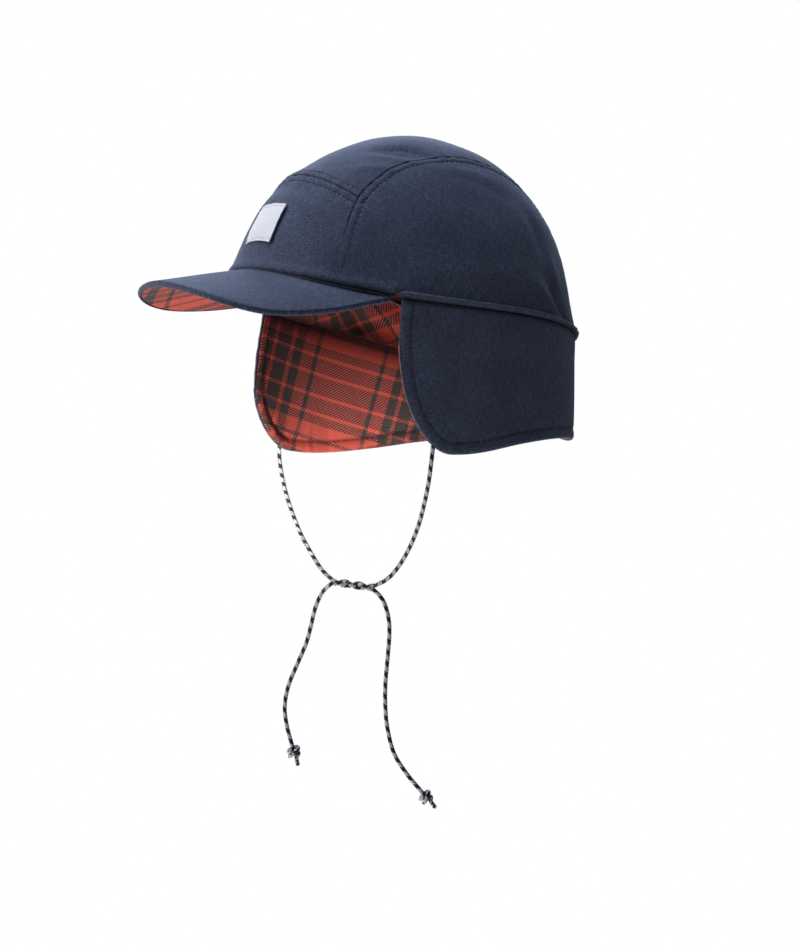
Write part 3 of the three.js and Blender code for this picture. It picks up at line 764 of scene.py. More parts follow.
def laid(uv, layout):
    """The pattern map as the cloth was cut: each way of the threads turned, and the whole shifted."""
    warp, weft = layout["warp"] * DEGREE, layout["weft"] * DEGREE
    u, v = uv[..., 0], uv[..., 1]
    across = u + v * math.tan(warp) if layout is FLAP_PLAID else u * math.cos(warp) + v * math.sin(warp)
    return np.stack([across, v * math.cos(weft) - u * math.sin(weft)], -1) + np.array(layout["shift"])


def flap_pattern(flat):
    """The flap's plaid, eased closer together towards its right front, where the lining is gathered in."""
    pattern = laid(flat, FLAP_PLAID)
    into = np.minimum(flat[..., 0] - FLAP_EASE["from"], 0)
    pattern[..., 0] += FLAP_EASE["growth"] / 2 * into**2
    return pattern


def smooth_path(points, spacing):
    """Evenly spaced points on a smooth curve through given ones, and how far along it each is."""
    points = np.asarray(points, float)
    ends = np.vstack([2 * points[0] - points[1], points, 2 * points[-1] - points[-2]])
    share = np.linspace(0, 1, ROUTE_STEPS, endpoint=False)[:, None]
    fine = np.vstack([catmull(*ends[i : i + 4], share) for i in range(len(points) - 1)] + [points[-1:]])
    along = lengths(fine)
    even = np.linspace(0, along[-1], max(int(along[-1] / spacing), 2) + 1)
    return np.stack([np.interp(even, along, fine[:, k]) for k in range(3)], -1), even


def tube_piece(name, path, along, radius):
    """Tube round a path. radius is a function of the length along it and the angle from its show side."""
    way = unit(np.gradient(path, axis=0))
    side = unit(np.cross(way[0], [0.3, 0.1, 1]))
    frames = []
    for step in way:
        side = unit(side - step * (side @ step))
        frames.append((side, np.cross(step, side)))
    angle = np.linspace(0, ROUND, CORD_SIDES + 1)[None]
    first, second = (np.array([pair[k] for pair in frames])[:, None] for k in (0, 1))
    shown = [axis[len(path) // 4, 0] @ CORD_SHOWS for axis in (second, first)]
    spin = math.pi / 2 - math.atan2(*shown)
    length, around = along[:, None] + 0 * angle, angle + spin + 0 * along[:, None]
    spokes = first * np.cos(angle)[..., None] + second * np.sin(angle)[..., None]
    ring = path[:, None] + radius(length, around)[..., None] * spokes
    index, quads = grid_faces(*ring.shape[:2])
    points, faces = ring.reshape(-1, 3), [tuple(q[::-1]) for q in quads]
    uv = np.stack([around / ROUND, length], -1).reshape(-1, 2)
    for row, middle in ((0, path[0]), (-1, path[-1])):
        points = np.vstack([points, middle])
        uv = np.vstack([uv, uv[index[row, 0]]])
        for k in range(CORD_SIDES):
            edge = (index[row, k], index[row, k + 1])
            faces.append((*(edge if row == 0 else edge[::-1]), len(points) - 1)[::-1])
    return new_piece(name, points, faces, uv)


def seat(piece, material, slot, *nodes):
    """Gives a finished piece its material and its place in the frame."""
    piece.data.materials.clear()
    piece.data.materials.append(material)
    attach(piece, "root")
    if nodes:
        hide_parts(*nodes)
    return piece


# Materials


def node(tree, kind, values=None, stops=None, fade="LINEAR", **settings):
    """Adds a node with its settings, links and colour stops, and returns its first output in use."""
    made = tree.nodes.new(kind)
    for key, value in settings.items():
        setattr(made, key, value)
    for socket, value in (values or {}).items():
        if isinstance(value, bpy.types.NodeSocket):
            tree.links.new(value, made.inputs[socket])
        else:
            made.inputs[socket].default_value = value
    for i, (place, colour) in enumerate(stops or ()):
        elements = made.color_ramp.elements
        made.color_ramp.interpolation = fade
        element = elements[i] if i < 2 else elements.new(place)
        element.position = place
        element.color = (*colour, 1)
    return next((output for output in made.outputs if output.enabled), None)


def new_material(name):
    """An empty material, and what adds nodes to it."""
    material = bpy.data.materials.new(name)
    material.use_nodes = True
    material.node_tree.nodes.clear()
    return material, partial(node, material.node_tree)


def dress(add, colour, grain, strength, depth, rough, sheen, tint=(1, 1, 1, 1)):
    """Shader with this colour and sheen, whose bump and roughness follow the cloth's grain."""
    shader = add("ShaderNodeBsdfPrincipled", {
        "Base Color": colour,
        "Normal": add("ShaderNodeBump", {"Height": grain, "Strength": strength, "Distance": depth}),
        "Roughness": add(RANGE, {"Value": grain, "To Min": rough[0], "To Max": rough[1]}),
        "Specular IOR Level": 0.25,
        "Sheen Weight": sheen, "Sheen Roughness": 0.5, "Sheen Tint": tint,
    })
    add("ShaderNodeOutputMaterial", {"Surface": shader})


def creased(add, colour):
    """The colour with painted shade: mixed towards near-black as far as the mesh's painted shade says, in
    creases, grooves and hidden places.
    """
    deep = add("ShaderNodeAttribute", attribute_name="crease").node.outputs["Fac"]
    return add(MIX, {0: deep, 6: colour, 7: (0.004, 0.003, 0.004, 1)}, data_type="RGBA")


def drawn_out(add, pattern, scale):
    """Fine noise drawn out along the threads."""
    pattern = add("ShaderNodeMapping", {"Vector": pattern, "Scale": scale})
    return add(NOISE, {"Vector": pattern, "Scale": 1, "Detail": 2})


def mottled(add, noise, colour, low, high):
    """The colour, between a darker and a paler shade of itself."""
    shades = [(*[min(v * share, 1) for v in colour], 1) for share in (low, high)]
    return add(MIX, {0: noise, 6: shades[0], 7: shades[1]}, data_type="RGBA")


def ribs(add, split, pitch):
    """Slanting ribs across the pattern map, as a wave between -1 and 1."""
    slant = add(MATH, {0: split.outputs[0], 1: split.outputs[1]}, operation="ADD")
    slant = add(MATH, {0: slant, 1: ROUND * MM / pitch}, operation="MULTIPLY")
    return add(MATH, {0: slant}, operation="SINE")


def heather_twill(cloth):
    """Cotton twill woven from slubby dyed yarn: short pale streaks both ways over fine slanting ribs."""
    material, add = new_material("navy_twill_slub_woven")
    pattern = add("ShaderNodeUVMap", uv_map="pattern")
    warp = drawn_out(add, pattern, (2.3, 0.22, 1))
    weft = drawn_out(add, pattern, (0.3, 2.3, 1))
    speck = add(NOISE, {"Vector": pattern, "Scale": 2.1, "Detail": 2})
    cloudy = add(NOISE, {"Vector": pattern, "Scale": 0.035, "Detail": 3})
    yarns = add(MATH, {0: warp, 1: weft}, operation="ADD")
    yarns = add(MATH, {0: yarns, 1: speck}, operation="ADD")
    cloudy = add(MATH, {0: cloudy, 1: 0.24}, operation="MULTIPLY")
    yarns = add(MATH, {0: yarns, 1: 0.58, 2: cloudy}, operation="MULTIPLY_ADD")
    split = add("ShaderNodeSeparateXYZ", {"Vector": pattern}).node
    rib = ribs(add, split, cloth.twill_pitch * math.sqrt(0.5))
    tone = add(MATH, {0: rib, 1: 0.09, 2: yarns}, operation="MULTIPLY_ADD")
    tone = add(MATH, {0: tone, 1: 0.5}, operation="MULTIPLY")
    stops = ((0.36, cloth.shade), (0.5, cloth.body), (0.66, cloth.fleck))
    colour = add("ShaderNodeValToRGB", {"Fac": tone}, stops=stops)
    slub = add(NOISE, {"Vector": pattern, "Scale": 1.5, "Detail": 1})
    slub = add(RANGE, {"Value": slub, "From Min": 0.66, "From Max": 0.76, "To Max": 0.8})
    colour = add(MIX, {0: slub, 6: colour, 7: (*cloth.slub, 1)}, data_type="RGBA")
    weave = add(MATH, {0: rib, 1: 0.35, 2: yarns}, operation="MULTIPLY_ADD")
    # The colour carries painted shade from the mesh
    dress(add, creased(add, colour), weave, 0.35, 0.00025, (0.78, 0.92), 0.22, (0.55, 0.62, 0.8, 1))
    return material


def stripes(add, coordinate, rows):
    """1 on the dark stripes of a repeating row of stripes and 0 on the red ones."""
    repeat = sum(width for _, width in rows)
    share = add(MATH, {0: coordinate, 1: 1 / repeat}, operation="MULTIPLY")
    share = add(MATH, {0: share}, operation="FRACT")
    stops, at = [], 0
    for name, width in rows:
        stops.append((at / repeat, (1, 1, 1) if name == "dark" else (0, 0, 0)))
        at += width
    return add("ShaderNodeValToRGB", {"Fac": share}, stops=stops, fade="CONSTANT")


def brushed_plaid(plaid):
    """Brushed cotton flannel in a tartan sett: plain where like yarns cross, slanting hatch elsewhere."""
    material, add = new_material("plaid_flannel_brushed")
    pattern = add("ShaderNodeUVMap", uv_map="pattern")
    fuzz = add(NOISE, {"Vector": pattern, "Scale": 1.6, "Detail": 2}).node.outputs[1]
    drift = add("ShaderNodeVectorMath", {0: fuzz, 1: (-0.5, -0.5, -0.5)}, operation="ADD")
    drift = add("ShaderNodeVectorMath", {0: drift, 1: (0.5, 0.5, 0), 2: pattern}, operation="MULTIPLY_ADD")
    split = add("ShaderNodeSeparateXYZ", {"Vector": drift}).node
    warp = stripes(add, split.outputs[0], WARP_STRIPES)
    weft = stripes(add, split.outputs[1], WEFT_STRIPES)
    hatch = ribs(add, split, plaid.hatch_pitch * math.sqrt(2))
    under = add(RANGE, {"Value": hatch, "From Min": 0.0, "From Max": 0.7, "To Min": 1.0, "To Max": 0.0})
    over = add(RANGE, {"Value": hatch, "From Min": -0.7, "From Max": 0.0})
    warp = add(MATH, {0: warp, 1: under}, operation="MULTIPLY")
    weft = add(MATH, {0: weft, 1: over}, operation="MULTIPLY")
    dark = add(MATH, {0: warp, 1: weft}, operation="MAXIMUM")
    mottle = add(NOISE, {"Vector": pattern, "Scale": 0.9, "Detail": 4})
    red = mottled(add, mottle, plaid.red, 0.8, 1.2)
    charcoal = mottled(add, mottle, plaid.charcoal, 0.7, 1.4)
    colour = add(MIX, {0: dark, 6: red, 7: charcoal}, data_type="RGBA")
    nap = add(NOISE, {"Vector": pattern, "Scale": 2.2, "Detail": 4})
    nap = add(MATH, {0: hatch, 1: 0.1, 2: nap}, operation="MULTIPLY_ADD")
    # The colour carries painted shade from the mesh
    dress(add, creased(add, colour), nap, 0.6, 0.0004, (0.88, 1.0), 0.06, (1.0, 0.6, 0.5, 1))
    return material


def damask_label():
    """Woven polyester satin: white, tight and slightly glossy, with a fine weave and a heat-cut edge."""
    material, add = new_material("white_label_satin")
    pattern = add("ShaderNodeUVMap", uv_map="pattern")
    grain = drawn_out(add, pattern, (0.8, 3, 1))
    stops = ((0.3, linear("#e0dde3")), (0.7, linear("#f5f3f5")))
    colour = add("ShaderNodeValToRGB", {"Fac": grain}, stops=stops)
    dress(add, creased(add, colour), grain, 0.3, 0.0002, (0.5, 0.7), 0.1)
    return material


def braided_cord(cord):
    """Round polyester braid: black and grey yarns pass over and under each other in slanting crossings."""
    material, add = new_material("black_grey_round_braid")
    pattern = add("ShaderNodeUVMap", uv_map="pattern")
    split = add("ShaderNodeSeparateXYZ", {"Vector": pattern}).node
    around = add(MATH, {0: split.outputs[0], 1: float(cord.strands)}, operation="MULTIPLY")
    steps = add(MATH, {0: split.outputs[1], 1: MM / cord.plait}, operation="MULTIPLY")
    yarns, shades, sides = [], [], []
    for operation in ("ADD", "SUBTRACT"):
        spiral = add(MATH, {0: around, 1: steps}, operation=operation)
        yarns.append(add(MATH, {0: spiral}, operation="FLOOR"))
        number = add(MATH, {0: yarns[-1], 1: float(cord.strands)}, operation="FLOORED_MODULO")
        shades.append(add(MATH, {0: number, 1: cord.strands / 2 - 0.5}, operation="LESS_THAN"))
        across = add(MATH, {0: spiral, 1: 1.0}, operation="PINGPONG")
        across = add(MATH, {0: across, 1: math.pi}, operation="MULTIPLY")
        sides.append(add(MATH, {0: across}, operation="SINE"))
    crossing = add(MATH, {0: yarns[0], 1: yarns[1]}, operation="ADD")
    crossing = add(MATH, {0: crossing, 1: 2.0}, operation="FLOORED_MODULO")
    black = add(MIX, {"Factor": crossing, "A": shades[0], "B": shades[1]}, data_type="FLOAT")
    fibre = drawn_out(add, pattern, (30, 3, 1))
    grey = mottled(add, fibre, cord.grey, 0.6, 1.2)
    colour = add(MIX, {0: black, 6: grey, 7: (*cord.black, 1)}, data_type="RGBA")
    # Painted shade: the colour goes towards the black yarn in the valleys between crossings, where shade
    # falls
    valley = add(MATH, {0: sides[0], 1: sides[1]}, operation="MULTIPLY")
    valley = add(RANGE, {"Value": valley, "From Max": 0.4, "To Min": 0.4, "To Max": 0.0})
    colour = add(MIX, {0: valley, 6: colour, 7: (*cord.black, 1)}, data_type="RGBA")
    dress(add, colour, fibre, 0.3, 0.0002, (0.45, 0.65), 0.15)
    return material


def sewing_thread(name, colour):
    """Spun polyester thread: even colour, faint gloss along the twist."""
    material, add = new_material(name)
    place = add("ShaderNodeTexCoord").node.outputs["Object"]
    twist = add(NOISE, {"Vector": place, "Scale": 900, "Detail": 2})
    stops = ((0.3, [v * 0.7 for v in colour]), (0.7, [min(v * 1.35, 1) for v in colour]))
    tone = add("ShaderNodeValToRGB", {"Fac": twist}, stops=stops)
    dress(add, tone, twist, 0.2, 0.0001, (0.5, 0.7), 0.05)
    return material


# Crown


def crown_panel(name, edges, grid, stitched, faint):
    """One sewn panel: its four edges, which of them have topstitching, and which lie flat low down."""
    place = patch(*edges, *map(crowded, grid))
    base, out = crown_face(place)
    lines = {"bottom": base[:, 0], "top": base[:, -1], "start": base[0], "end": base[-1]}
    height = crown_relief(base)
    over_peak = 1 - welt_growth(disc_turn(place))
    hang = over_peak * PEAK_OVERHANG * np.exp(-nearest(base, lines["bottom"])[0] / OVERHANG_FADE)
    base = base - worn([0, 0, 1]) * hang[..., None]
    # Painted shade: darker along each seam and at the lower edge that overhangs the peak
    crease = 0
    for seed, (edge, line) in enumerate(lines.items()):
        distance, along = nearest(base, line)
        firm = np.clip((along - FAINT_FROM) / (FAINT_TO - FAINT_FROM), FAINT_LEAST, 1) if edge in faint else 1
        if edge == "bottom":
            height += over_peak * (rolled(distance, *BROW_ROLL) + hump(distance, *BROW_SWELL))
            crease = np.maximum(crease, over_peak * hump(distance, *BROW_SHADE))
            continue
        height += firm * (rolled(distance, *SEAM_ROLL) + puckers(distance, along, SEAM_PUCKER, seed))
        crease = np.maximum(crease, firm * hump(distance, *SEAM_SHADE))
        if edge in stitched:
            height += firm * (hump(distance, *SEAM_GROOVE) + hump(distance, *SEAM_SWELL))
    outer, inner = base + out * height[..., None], base - out * (CLOTH - THINNED)
    return wall_piece(name, outer, inner, arc_map(base), crease)


def side_hem_turn(share):
    turns = (SEAM_FRONT_TURN, WELT_START, WELT_START + WELT_FADE, SEAM_BACK_TURN)
    return np.interp(share, SIDE_HEM_SHARES, turns)


def side_edges(side):
    """Edges of a side panel: its hem, its seam to the top panel, and the seams that start and end it."""
    flip = (lambda place: place) if side > 0 else mirrored
    near = (lambda u: u) if side > 0 else (lambda u: 1 - u)
    front = lambda v: flip(seam_stretch(0, FRONT_SEAM_AT, v))
    rear = lambda v: flip(seam_stretch(1, REAR_CORNER_AT, v))
    return (
        lambda u: flip(hem_place(side_hem_turn(near(u)))),
        lambda u: flip(seam_place(FRONT_SEAM_AT + (REAR_CORNER_AT - FRONT_SEAM_AT) * near(u))),
        front if side > 0 else rear,
        rear if side > 0 else front,
    )


def build_panels(material):
    """The four crown panels, each filled in between its own four edges."""
    front_side = lambda v: seam_stretch(0, FRONT_SEAM_AT, v)
    top_side = lambda v: seam_stretch(1, FRONT_SEAM_AT, v)
    front = (
        lambda u: hem_stretch(-SEAM_FRONT_TURN, SEAM_FRONT_TURN, u),
        front_seam,
        lambda v: mirrored(front_side(v)),
        front_side,
    )
    top = (
        lambda u: hem_stretch(SEAM_BACK_TURN, ROUND - SEAM_BACK_TURN, u),
        lambda u: front_seam(1 - u),
        top_side,
        lambda v: mirrored(top_side(v)),
    )
    ends = ("start", "end")
    rows = (
        ("front_panel", front, FRONT_GRID, ("top",), ends),
        ("top_panel", top, TOP_GRID, ("top",), ()),
        ("side_panel_left", side_edges(1), SIDE_GRID, ("top", *ends), ("start",)),
        ("side_panel_right", side_edges(-1), SIDE_GRID, ("top", *ends), ("end",)),
    )
    for cad_node, *shape in rows:
        seat(crown_panel("cap_" + cad_node, *shape), material, "navy_cloth", cad_node)


def build_welt(material):
    """The hem's roll: the crown's cloth goes on past the panels and swells into a soft turned edge."""
    turn = np.linspace(WELT_START, ROUND - WELT_START, WELT_GRID[0])[:, None]
    growth = welt_growth(turn)
    down = crowded(WELT_GRID[1], WELT_CROWDING)[None]
    above = (WELT_HEIGHT * growth + WELT_END_HEIGHT * (1 - growth)) * (1 - down)
    base, out = crown_face(on_disc(turn + 0 * down, 1 - above / RISE_PER_SHARE))
    along = lengths(base[:, 0])[:, None]
    gathers = 1 + sum(tall * np.sin(along * ROUND / length + phase) for tall, length, phase in WELT_GATHERS)
    swell = np.sin(math.pi * np.clip((above + WELT_SPILL) / (WELT_HEIGHT + WELT_SPILL), 0, 1))
    bulge = WELT_BULGE * gathers * swell * growth + rolled(above, *WELT_ROLL)
    ending = np.clip((WELT_START + WELT_END["turn"] - from_front(turn)) / WELT_END["turn"], 0, 1)
    outer = base + out * (crown_relief(base) + bulge - WELT_END["depth"] * ending)[..., None]
    inner = base - out * (CLOTH - THINNED)
    uv = np.stack([along + 0 * down, above + 0 * along], -1)
    # The last grid is painted shade, darker at the roll's lower edge
    grids = [grid[:, ::-1] for grid in (outer, inner, uv, hump(above, *WELT_SHADE))]
    seat(wall_piece("cap_hem_roll", *grids), material, "navy_cloth", "crown_welt")


def build_lining(material):
    """Crown lining: lies along the panels, then hangs past the hem in a loose fold with soft creases,
    darkened by painted shade along its lower edge and behind the flap.
    """
    columns, rows = LINING_GRID
    turn = np.linspace(0, ROUND, columns)[:, None] + np.zeros((1, rows))
    inside = np.linspace(0, 1, rows - LINING_HANGS) ** LINING_CROWDING
    up = np.concatenate([np.linspace(-1, 0, LINING_HANGS, endpoint=False), inside])[None] + 0 * turn
    hang, up = np.minimum(up, 0), np.maximum(up, 0)
    ahead = from_front(turn)
    inward = np.interp(ahead, LINING_ROWS["turn"], LINING_ROWS["inward"])
    sag = smooth_interp(ahead, LINING_ROWS["turn"], LINING_ROWS["sag"])
    start = 1 - (GAP + LINING_LIFT * front_share(turn)) / RISE_PER_SHARE
    base, out = crown_face(on_disc(turn, start * (1 - up)))
    outer = base - out * (CLOTH + LINING_GAP + inward * np.exp(-up / LINING_SLACK_FADE))[..., None]
    outer[..., 2] += sag * hang
    slack = np.exp(-up / LINING_EDGE_FADE) * inward / LINING_LOOSE
    fold = np.maximum(sag * (1 + hang), up * LINING_RUN)
    tucked = -rolled(fold, *LINING_TUCK) * inward / LINING_LOOSE
    outer = outer - out * (slack * (LINING_SLOUCH + waves(outer, LINING_WAVES)) - tucked)[..., None]
    inner = outer - out * (FLANNEL + rolled(fold, *LINING_ROLL))[..., None]
    drift = CROWN_DRIFT["along"] * np.clip(base[..., 0] / CROWN_DRIFT["across"], 0, 1)
    uv = laid(arc_map(base) + np.stack([drift, hang * sag], -1), CROWN_PLAID)
    # Painted shade: darker near the hanging fold's lower edge on the inner face, and nearly black on the
    # outer face behind the flap
    shadow = hump(fold, *LINING_SHADE) * np.clip(sag / SHADED_SAG, 0, 1)
    behind_flap = np.clip((ahead - PEAK_TURN) / FLAP_COVERS - 0.5, 0, 1)
    crease = np.stack([IN_THE_DARK * behind_flap, shadow])
    piece = wall_piece("cap_crown_lining", outer, inner, uv, crease, wraps=True)
    seat(piece, material, "plaid_flannel", "crown_lining")


# Peak


def peak_point(sweep, out):
    """Middle of the peak as a fan between its seam, where out is 0, and its free edge, where out is 1."""
    seam_turn = sweep / (math.pi / 2) * PEAK_TURN
    seam = crown_point(on_disc(seam_turn, 1.0)) - PEAK_TUCK * rim_out(seam_turn)
    end_y = float(rim_y(np.array(PEAK_TURN)))
    wide = (np.sin(sweep) + PEAK_BROAD * np.sin(3 * sweep)) / (1 - PEAK_BROAD)
    long = (np.cos(sweep) - PEAK_ROUND * np.cos(3 * sweep)) / (1 - PEAK_ROUND)
    fall = PEAK_DROP * np.cos(sweep) - PEAK_ARCH * np.cos(3 * sweep) + PEAK_TWIST * np.sin(2 * sweep)
    edge = np.stack([
        rim_x(np.array(PEAK_TURN)) * wide,
        end_y - (RIM_HALF_LENGTH + PEAK_REACH + end_y) * long,
        hem_rise(np.array(PEAK_TURN)) - fall,
    ], -1)
    return seam + (edge - seam) * out[..., None]


def peak_layer(cad_node, top, thickness, material, slot, layout, soft):
    """One layer of the peak: the cloth is rounded over its edge and under it, and the flannel is set in."""
    columns, rows = PEAK_GRID
    share = crowded(columns, PEAK_CROWDING[0])[:, None] + np.zeros((1, rows))
    out = (1 - crowded(rows, PEAK_CROWDING[1]))[None] + 0 * share
    sweep = PEAK_END * (2 * share - 1)
    reach = np.linalg.norm(peak_point(sweep, 1 + 0 * out) - peak_point(sweep, 0 * out), axis=2)
    out = out * (1 - np.minimum((1 - soft) * (PEAK_WRAP + THINNED) / reach, SET_IN_MOST))
    half, step = 0 * out + 0.5, 0.01
    across = peak_point(sweep + step, half) - peak_point(sweep - step, half)
    forward = peak_point(sweep, half + step) - peak_point(sweep, half - step)
    normal = worn(unit(np.cross(forward, across)))
    base = worn(peak_point(sweep, out))
    distance, from_seam = (np.linalg.norm(base - edge, axis=2) for edge in (base[:, :1], base[:, -1:]))
    wrap = soft * (GAP + FLANNEL) * np.clip((PEAK_WRAP - distance) / WRAP_FADE, 0, 1)
    radius = (thickness + wrap) / 2
    nose = radius - np.sqrt(np.maximum(radius**2 - np.maximum(radius - distance, 0) ** 2, 0))
    relief = waves(base, PEAK_WAVES) * soft
    upper = base - normal * (top + nose - relief)[..., None]
    lower = base - normal * (top + thickness + wrap - nose - relief)[..., None]
    flat = base[..., :2] * [1, -1]
    uv = flat if layout is None else laid(flat, layout)
    # Painted shade on the top layer: darker beside the seam under the crown's edge, and a little along the
    # turned front edge
    turned = NOSE_SHADE["height"] * np.exp(-((distance / NOSE_SHADE["width"]) ** NOSE_SHADE["power"]))
    shadow = soft * np.maximum(hump(from_seam, *PEAK_SHADE), turned)
    seat(wall_piece("cap_" + cad_node, upper, lower, uv, shadow), material, slot, cad_node)


def both_cloths():
    """The twill and the flannel, which the crown and its lining have made."""
    return bpy.data.materials["navy_twill_slub_woven"], bpy.data.materials["plaid_flannel_brushed"]


def build_peak(cloth, flannel):
    """The peak, and its underside a small gap below it."""
    under = PEAK_THICKNESS + 2 * GAP
    peak_layer("peak", GAP, PEAK_THICKNESS, cloth, "navy_cloth", None, 1)
    peak_layer("peak_underside", under, FLANNEL, flannel, "plaid_flannel", PEAK_PLAID, 0)


# Ear and neck flap


def hem_lengths():
    """Length along the hem behind the peak's end, against the turn."""
    turn = np.linspace(PEAK_TURN - HEM_BEFORE, math.pi, HEM_STEPS)
    along = lengths(np.stack([rim_x(turn), rim_y(turn)], -1))
    return along - np.interp(PEAK_TURN, turn, along), turn


HEM_ALONG, HEM_TURN = hem_lengths()
HEM_LENGTH = HEM_ALONG[-1]


def flap_drop(along, which):
    """How far below the hem the flap ends, this far along it."""
    front = FLAP_FRONT[which]
    full = smooth_value(FLAP_ROWS[which], along / (HEM_LENGTH - front["start"]))
    reach = np.clip(1 - along / front["corner"], 0, 1)
    rounded = front["above"] + (full - front["above"]) * np.sqrt(1 - reach**2)
    return np.where(along < front["corner"], rounded, full)


def flap_side(share, down, which, side, inset):
    """Outer face of one side of the flap, its outward direction and its flat pattern place."""
    front = FLAP_FRONT[which]
    along = (HEM_LENGTH - front["start"]) * share
    drop = flap_drop(along, which) * down
    depth = drop / FLAP_ROWS[which][0]
    fading = np.exp(-along / FLAP_SWING_FADE)
    swung = np.sin(math.pi / 2 * np.minimum(drop / front["above"], 1)) ** SWING_POWER
    forward = front["swing"] * swung * fading
    set_in = inset * np.clip((front["above"] - drop) / INSET_FADE, 0, 1) * fading
    hem_at = along + front["start"] - forward * (1 - share) + set_in
    turn = np.interp(hem_at, HEM_ALONG, HEM_TURN)
    lean = smooth_value(FLAP_ROWS["lean"], share) * depth**LEAN_POWER
    out = rim_out(turn)
    point = worn(crown_point(on_disc(turn, 1.0))) - out * (FLAP_INSET + lean)[..., None]
    point[..., 2] -= 2 * GAP + drop
    point[..., 0] *= side
    return point, out * [side, 1, 1], np.stack([side * (HEM_LENGTH - hem_at), -point[..., 2]], -1)


def flap_grid(columns, rows, inset=0):
    """The whole flap's outer face, from its left front edge round the back to its right one."""
    signed = np.linspace(1, -1, 2 * columns + 1)[:, None] + np.zeros((1, rows))
    share = (1 - np.abs(signed)) ** FLAP_CROWDING
    down = 1 - crowded(rows, DROP_CROWDING)[None] + 0 * signed
    down = down * (1 - inset / FLAP_ROWS["left"][-1] * np.clip(share * 3 - 1, 0, 1))
    left, right = (flap_side(share, down, which, side, inset) for which, side in (("left", 1), ("right", -1)))
    is_left = (signed >= 0)[..., None]
    return tuple(np.where(is_left, a, b) for a, b in zip(left, right))


def flap_relief(points, flat):
    """Folds shared by both layers of the flap, so that they stay apart."""
    fade = np.clip((flat[..., 1] + FLAP_CALM["from"]) / FLAP_CALM["over"], 0, 1)
    return (waves(points, FLAP_WAVES) - FLAP_CALM["sink"]) * fade


def flap_edge_line(points):
    """The free edge: down the left front, along the bottom and up the right front."""
    return np.concatenate([points[0, ::-1], points[:, 0], points[-1]])


def lining_fold():
    """Line of the crown lining's lower edge, below which painted shade darkens the flap's lining."""
    start = LINING_ROWS["turn"][2]
    turn = np.linspace(start, ROUND - start, FOLD_STEPS)
    fold = worn(crown_point(on_disc(turn, 1.0)))
    fold[:, 2] -= smooth_interp(from_front(turn), LINING_ROWS["turn"], LINING_ROWS["sag"])
    return fold


def build_flap(cloth, flannel):
    """The flap's shell and its lining, which is pulled in along the row of stitches."""
    base, out, flat = flap_grid(*FLAP_GRID)
    edge = flap_edge_line(base)
    distance, along = nearest(base, edge)
    from_hem = np.linalg.norm(base - base[:, -1:], axis=2)
    shared = base + out * flap_relief(base, flat)[..., None]
    sewn = hump(distance, *FLAP_GROOVE) + hump(distance, *FLAP_SWELL) + hump(from_hem, *FLAP_TUCK)
    sewn += puckers(np.abs(distance - EDGE_STITCH), along, *FLAP_PUCKER) + rolled(distance, *FLAP_ROLL)
    # Painted shade on the shell: darker just below the hem roll and in the stitched groove
    crease = np.maximum(hump(from_hem, *FLAP_SHADE), hump(distance, *GROOVE_SHADE))
    shell = wall_piece("cap_flap_shell", shared + out * sewn[..., None], shared - out * CLOTH, flat, crease)
    seat(shell, cloth, "navy_cloth", "earflap_shell")

    base, out, flat = flap_grid(*FLAP_GRID, LINING_INSET)
    distance, along = nearest(base, edge)
    shared = base + out * flap_relief(base, flat)[..., None]
    sewn = hump(distance, *QUILT_GROOVE) + hump(distance, *QUILT_SWELL)
    sewn += puckers(np.abs(distance - EDGE_STITCH), along, *QUILT_PUCKER)
    sewn += rolled(nearest(base, flap_edge_line(base))[0], *QUILT_ROLL)
    # Painted shade on the lining: darker below the crown lining's fold and in the stitched groove, and nearly
    # black on the hidden outer face
    from_fold = nearest(shared, lining_fold())[0]
    shadow = np.maximum(hump(from_fold, *FOLD_SHADE), hump(distance, *QUILT_SHADE))
    outer = shared - out * (CLOTH + GAP)
    inner = shared - out * (CLOTH + GAP + FLANNEL + sewn)[..., None]
    crease = np.stack([0 * shadow + IN_THE_DARK, shadow])
    lining = wall_piece("cap_flap_lining", outer, inner, flap_pattern(flat), crease)
    seat(lining, flannel, "plaid_flannel", "earflap_lining")


# Label


def label_grid(columns, rows):
    middle = 1 - LABEL_CENTRE
    step = 0.01
    ends = [crown_point(np.array([0, -middle + k * step])) for k in (-1, 1)]
    per_along = np.linalg.norm(ends[1] - ends[0]) / (2 * step)
    i, j = np.meshgrid(np.linspace(-0.5, 0.5, columns), np.linspace(-0.5, 0.5, rows), indexing="ij")
    along = -middle + (j * LABEL_HEIGHT - LABEL_DIP * (1 - (2 * i) ** 2)) / per_along
    pair = [crown_point(np.stack([0 * along + k * step, along], -1)) for k in (-1, 1)]
    per_across = np.linalg.norm(pair[1] - pair[0], axis=-1) / (2 * step)
    return *crown_face(np.stack([i * LABEL_WIDTH / per_across, along], -1)), i, j


def label_lift(i, j):
    """How far the label's back stands off the panel: its left side comes loose a little."""
    sway = LABEL_LOOSE["sway"] * np.sin(j * LABEL_LOOSE["sways"]) * (2 * i)
    return LABEL_LOOSE["base"] + LABEL_LOOSE["side"] * np.clip(2 * i, 0, 1) ** 2 + sway


def build_label():
    """Woven label: sewn at its top and bottom, its free sides lifting a little, its face left bare."""
    base, out, i, j = label_grid(*LABEL_GRID)
    lift = crown_relief(base) + label_lift(i, j)
    ripple = LABEL_RIPPLE["height"] * np.sin(i * LABEL_RIPPLE["count"] + LABEL_RIPPLE["shift"])
    ripple = ripple * (2 * np.abs(j)) ** LABEL_RIPPLE["power"]
    thick = LABEL_THICKNESS + hump(np.abs(j), *LABEL_SEAM) + ripple
    face, back = (base + out * height[..., None] for height in (lift + thick, lift))
    uv = np.stack([i * LABEL_WIDTH, j * LABEL_HEIGHT], -1)
    seat(wall_piece("cap_label", face, back, uv), damask_label(), "label_cloth", "label")


# Topstitching


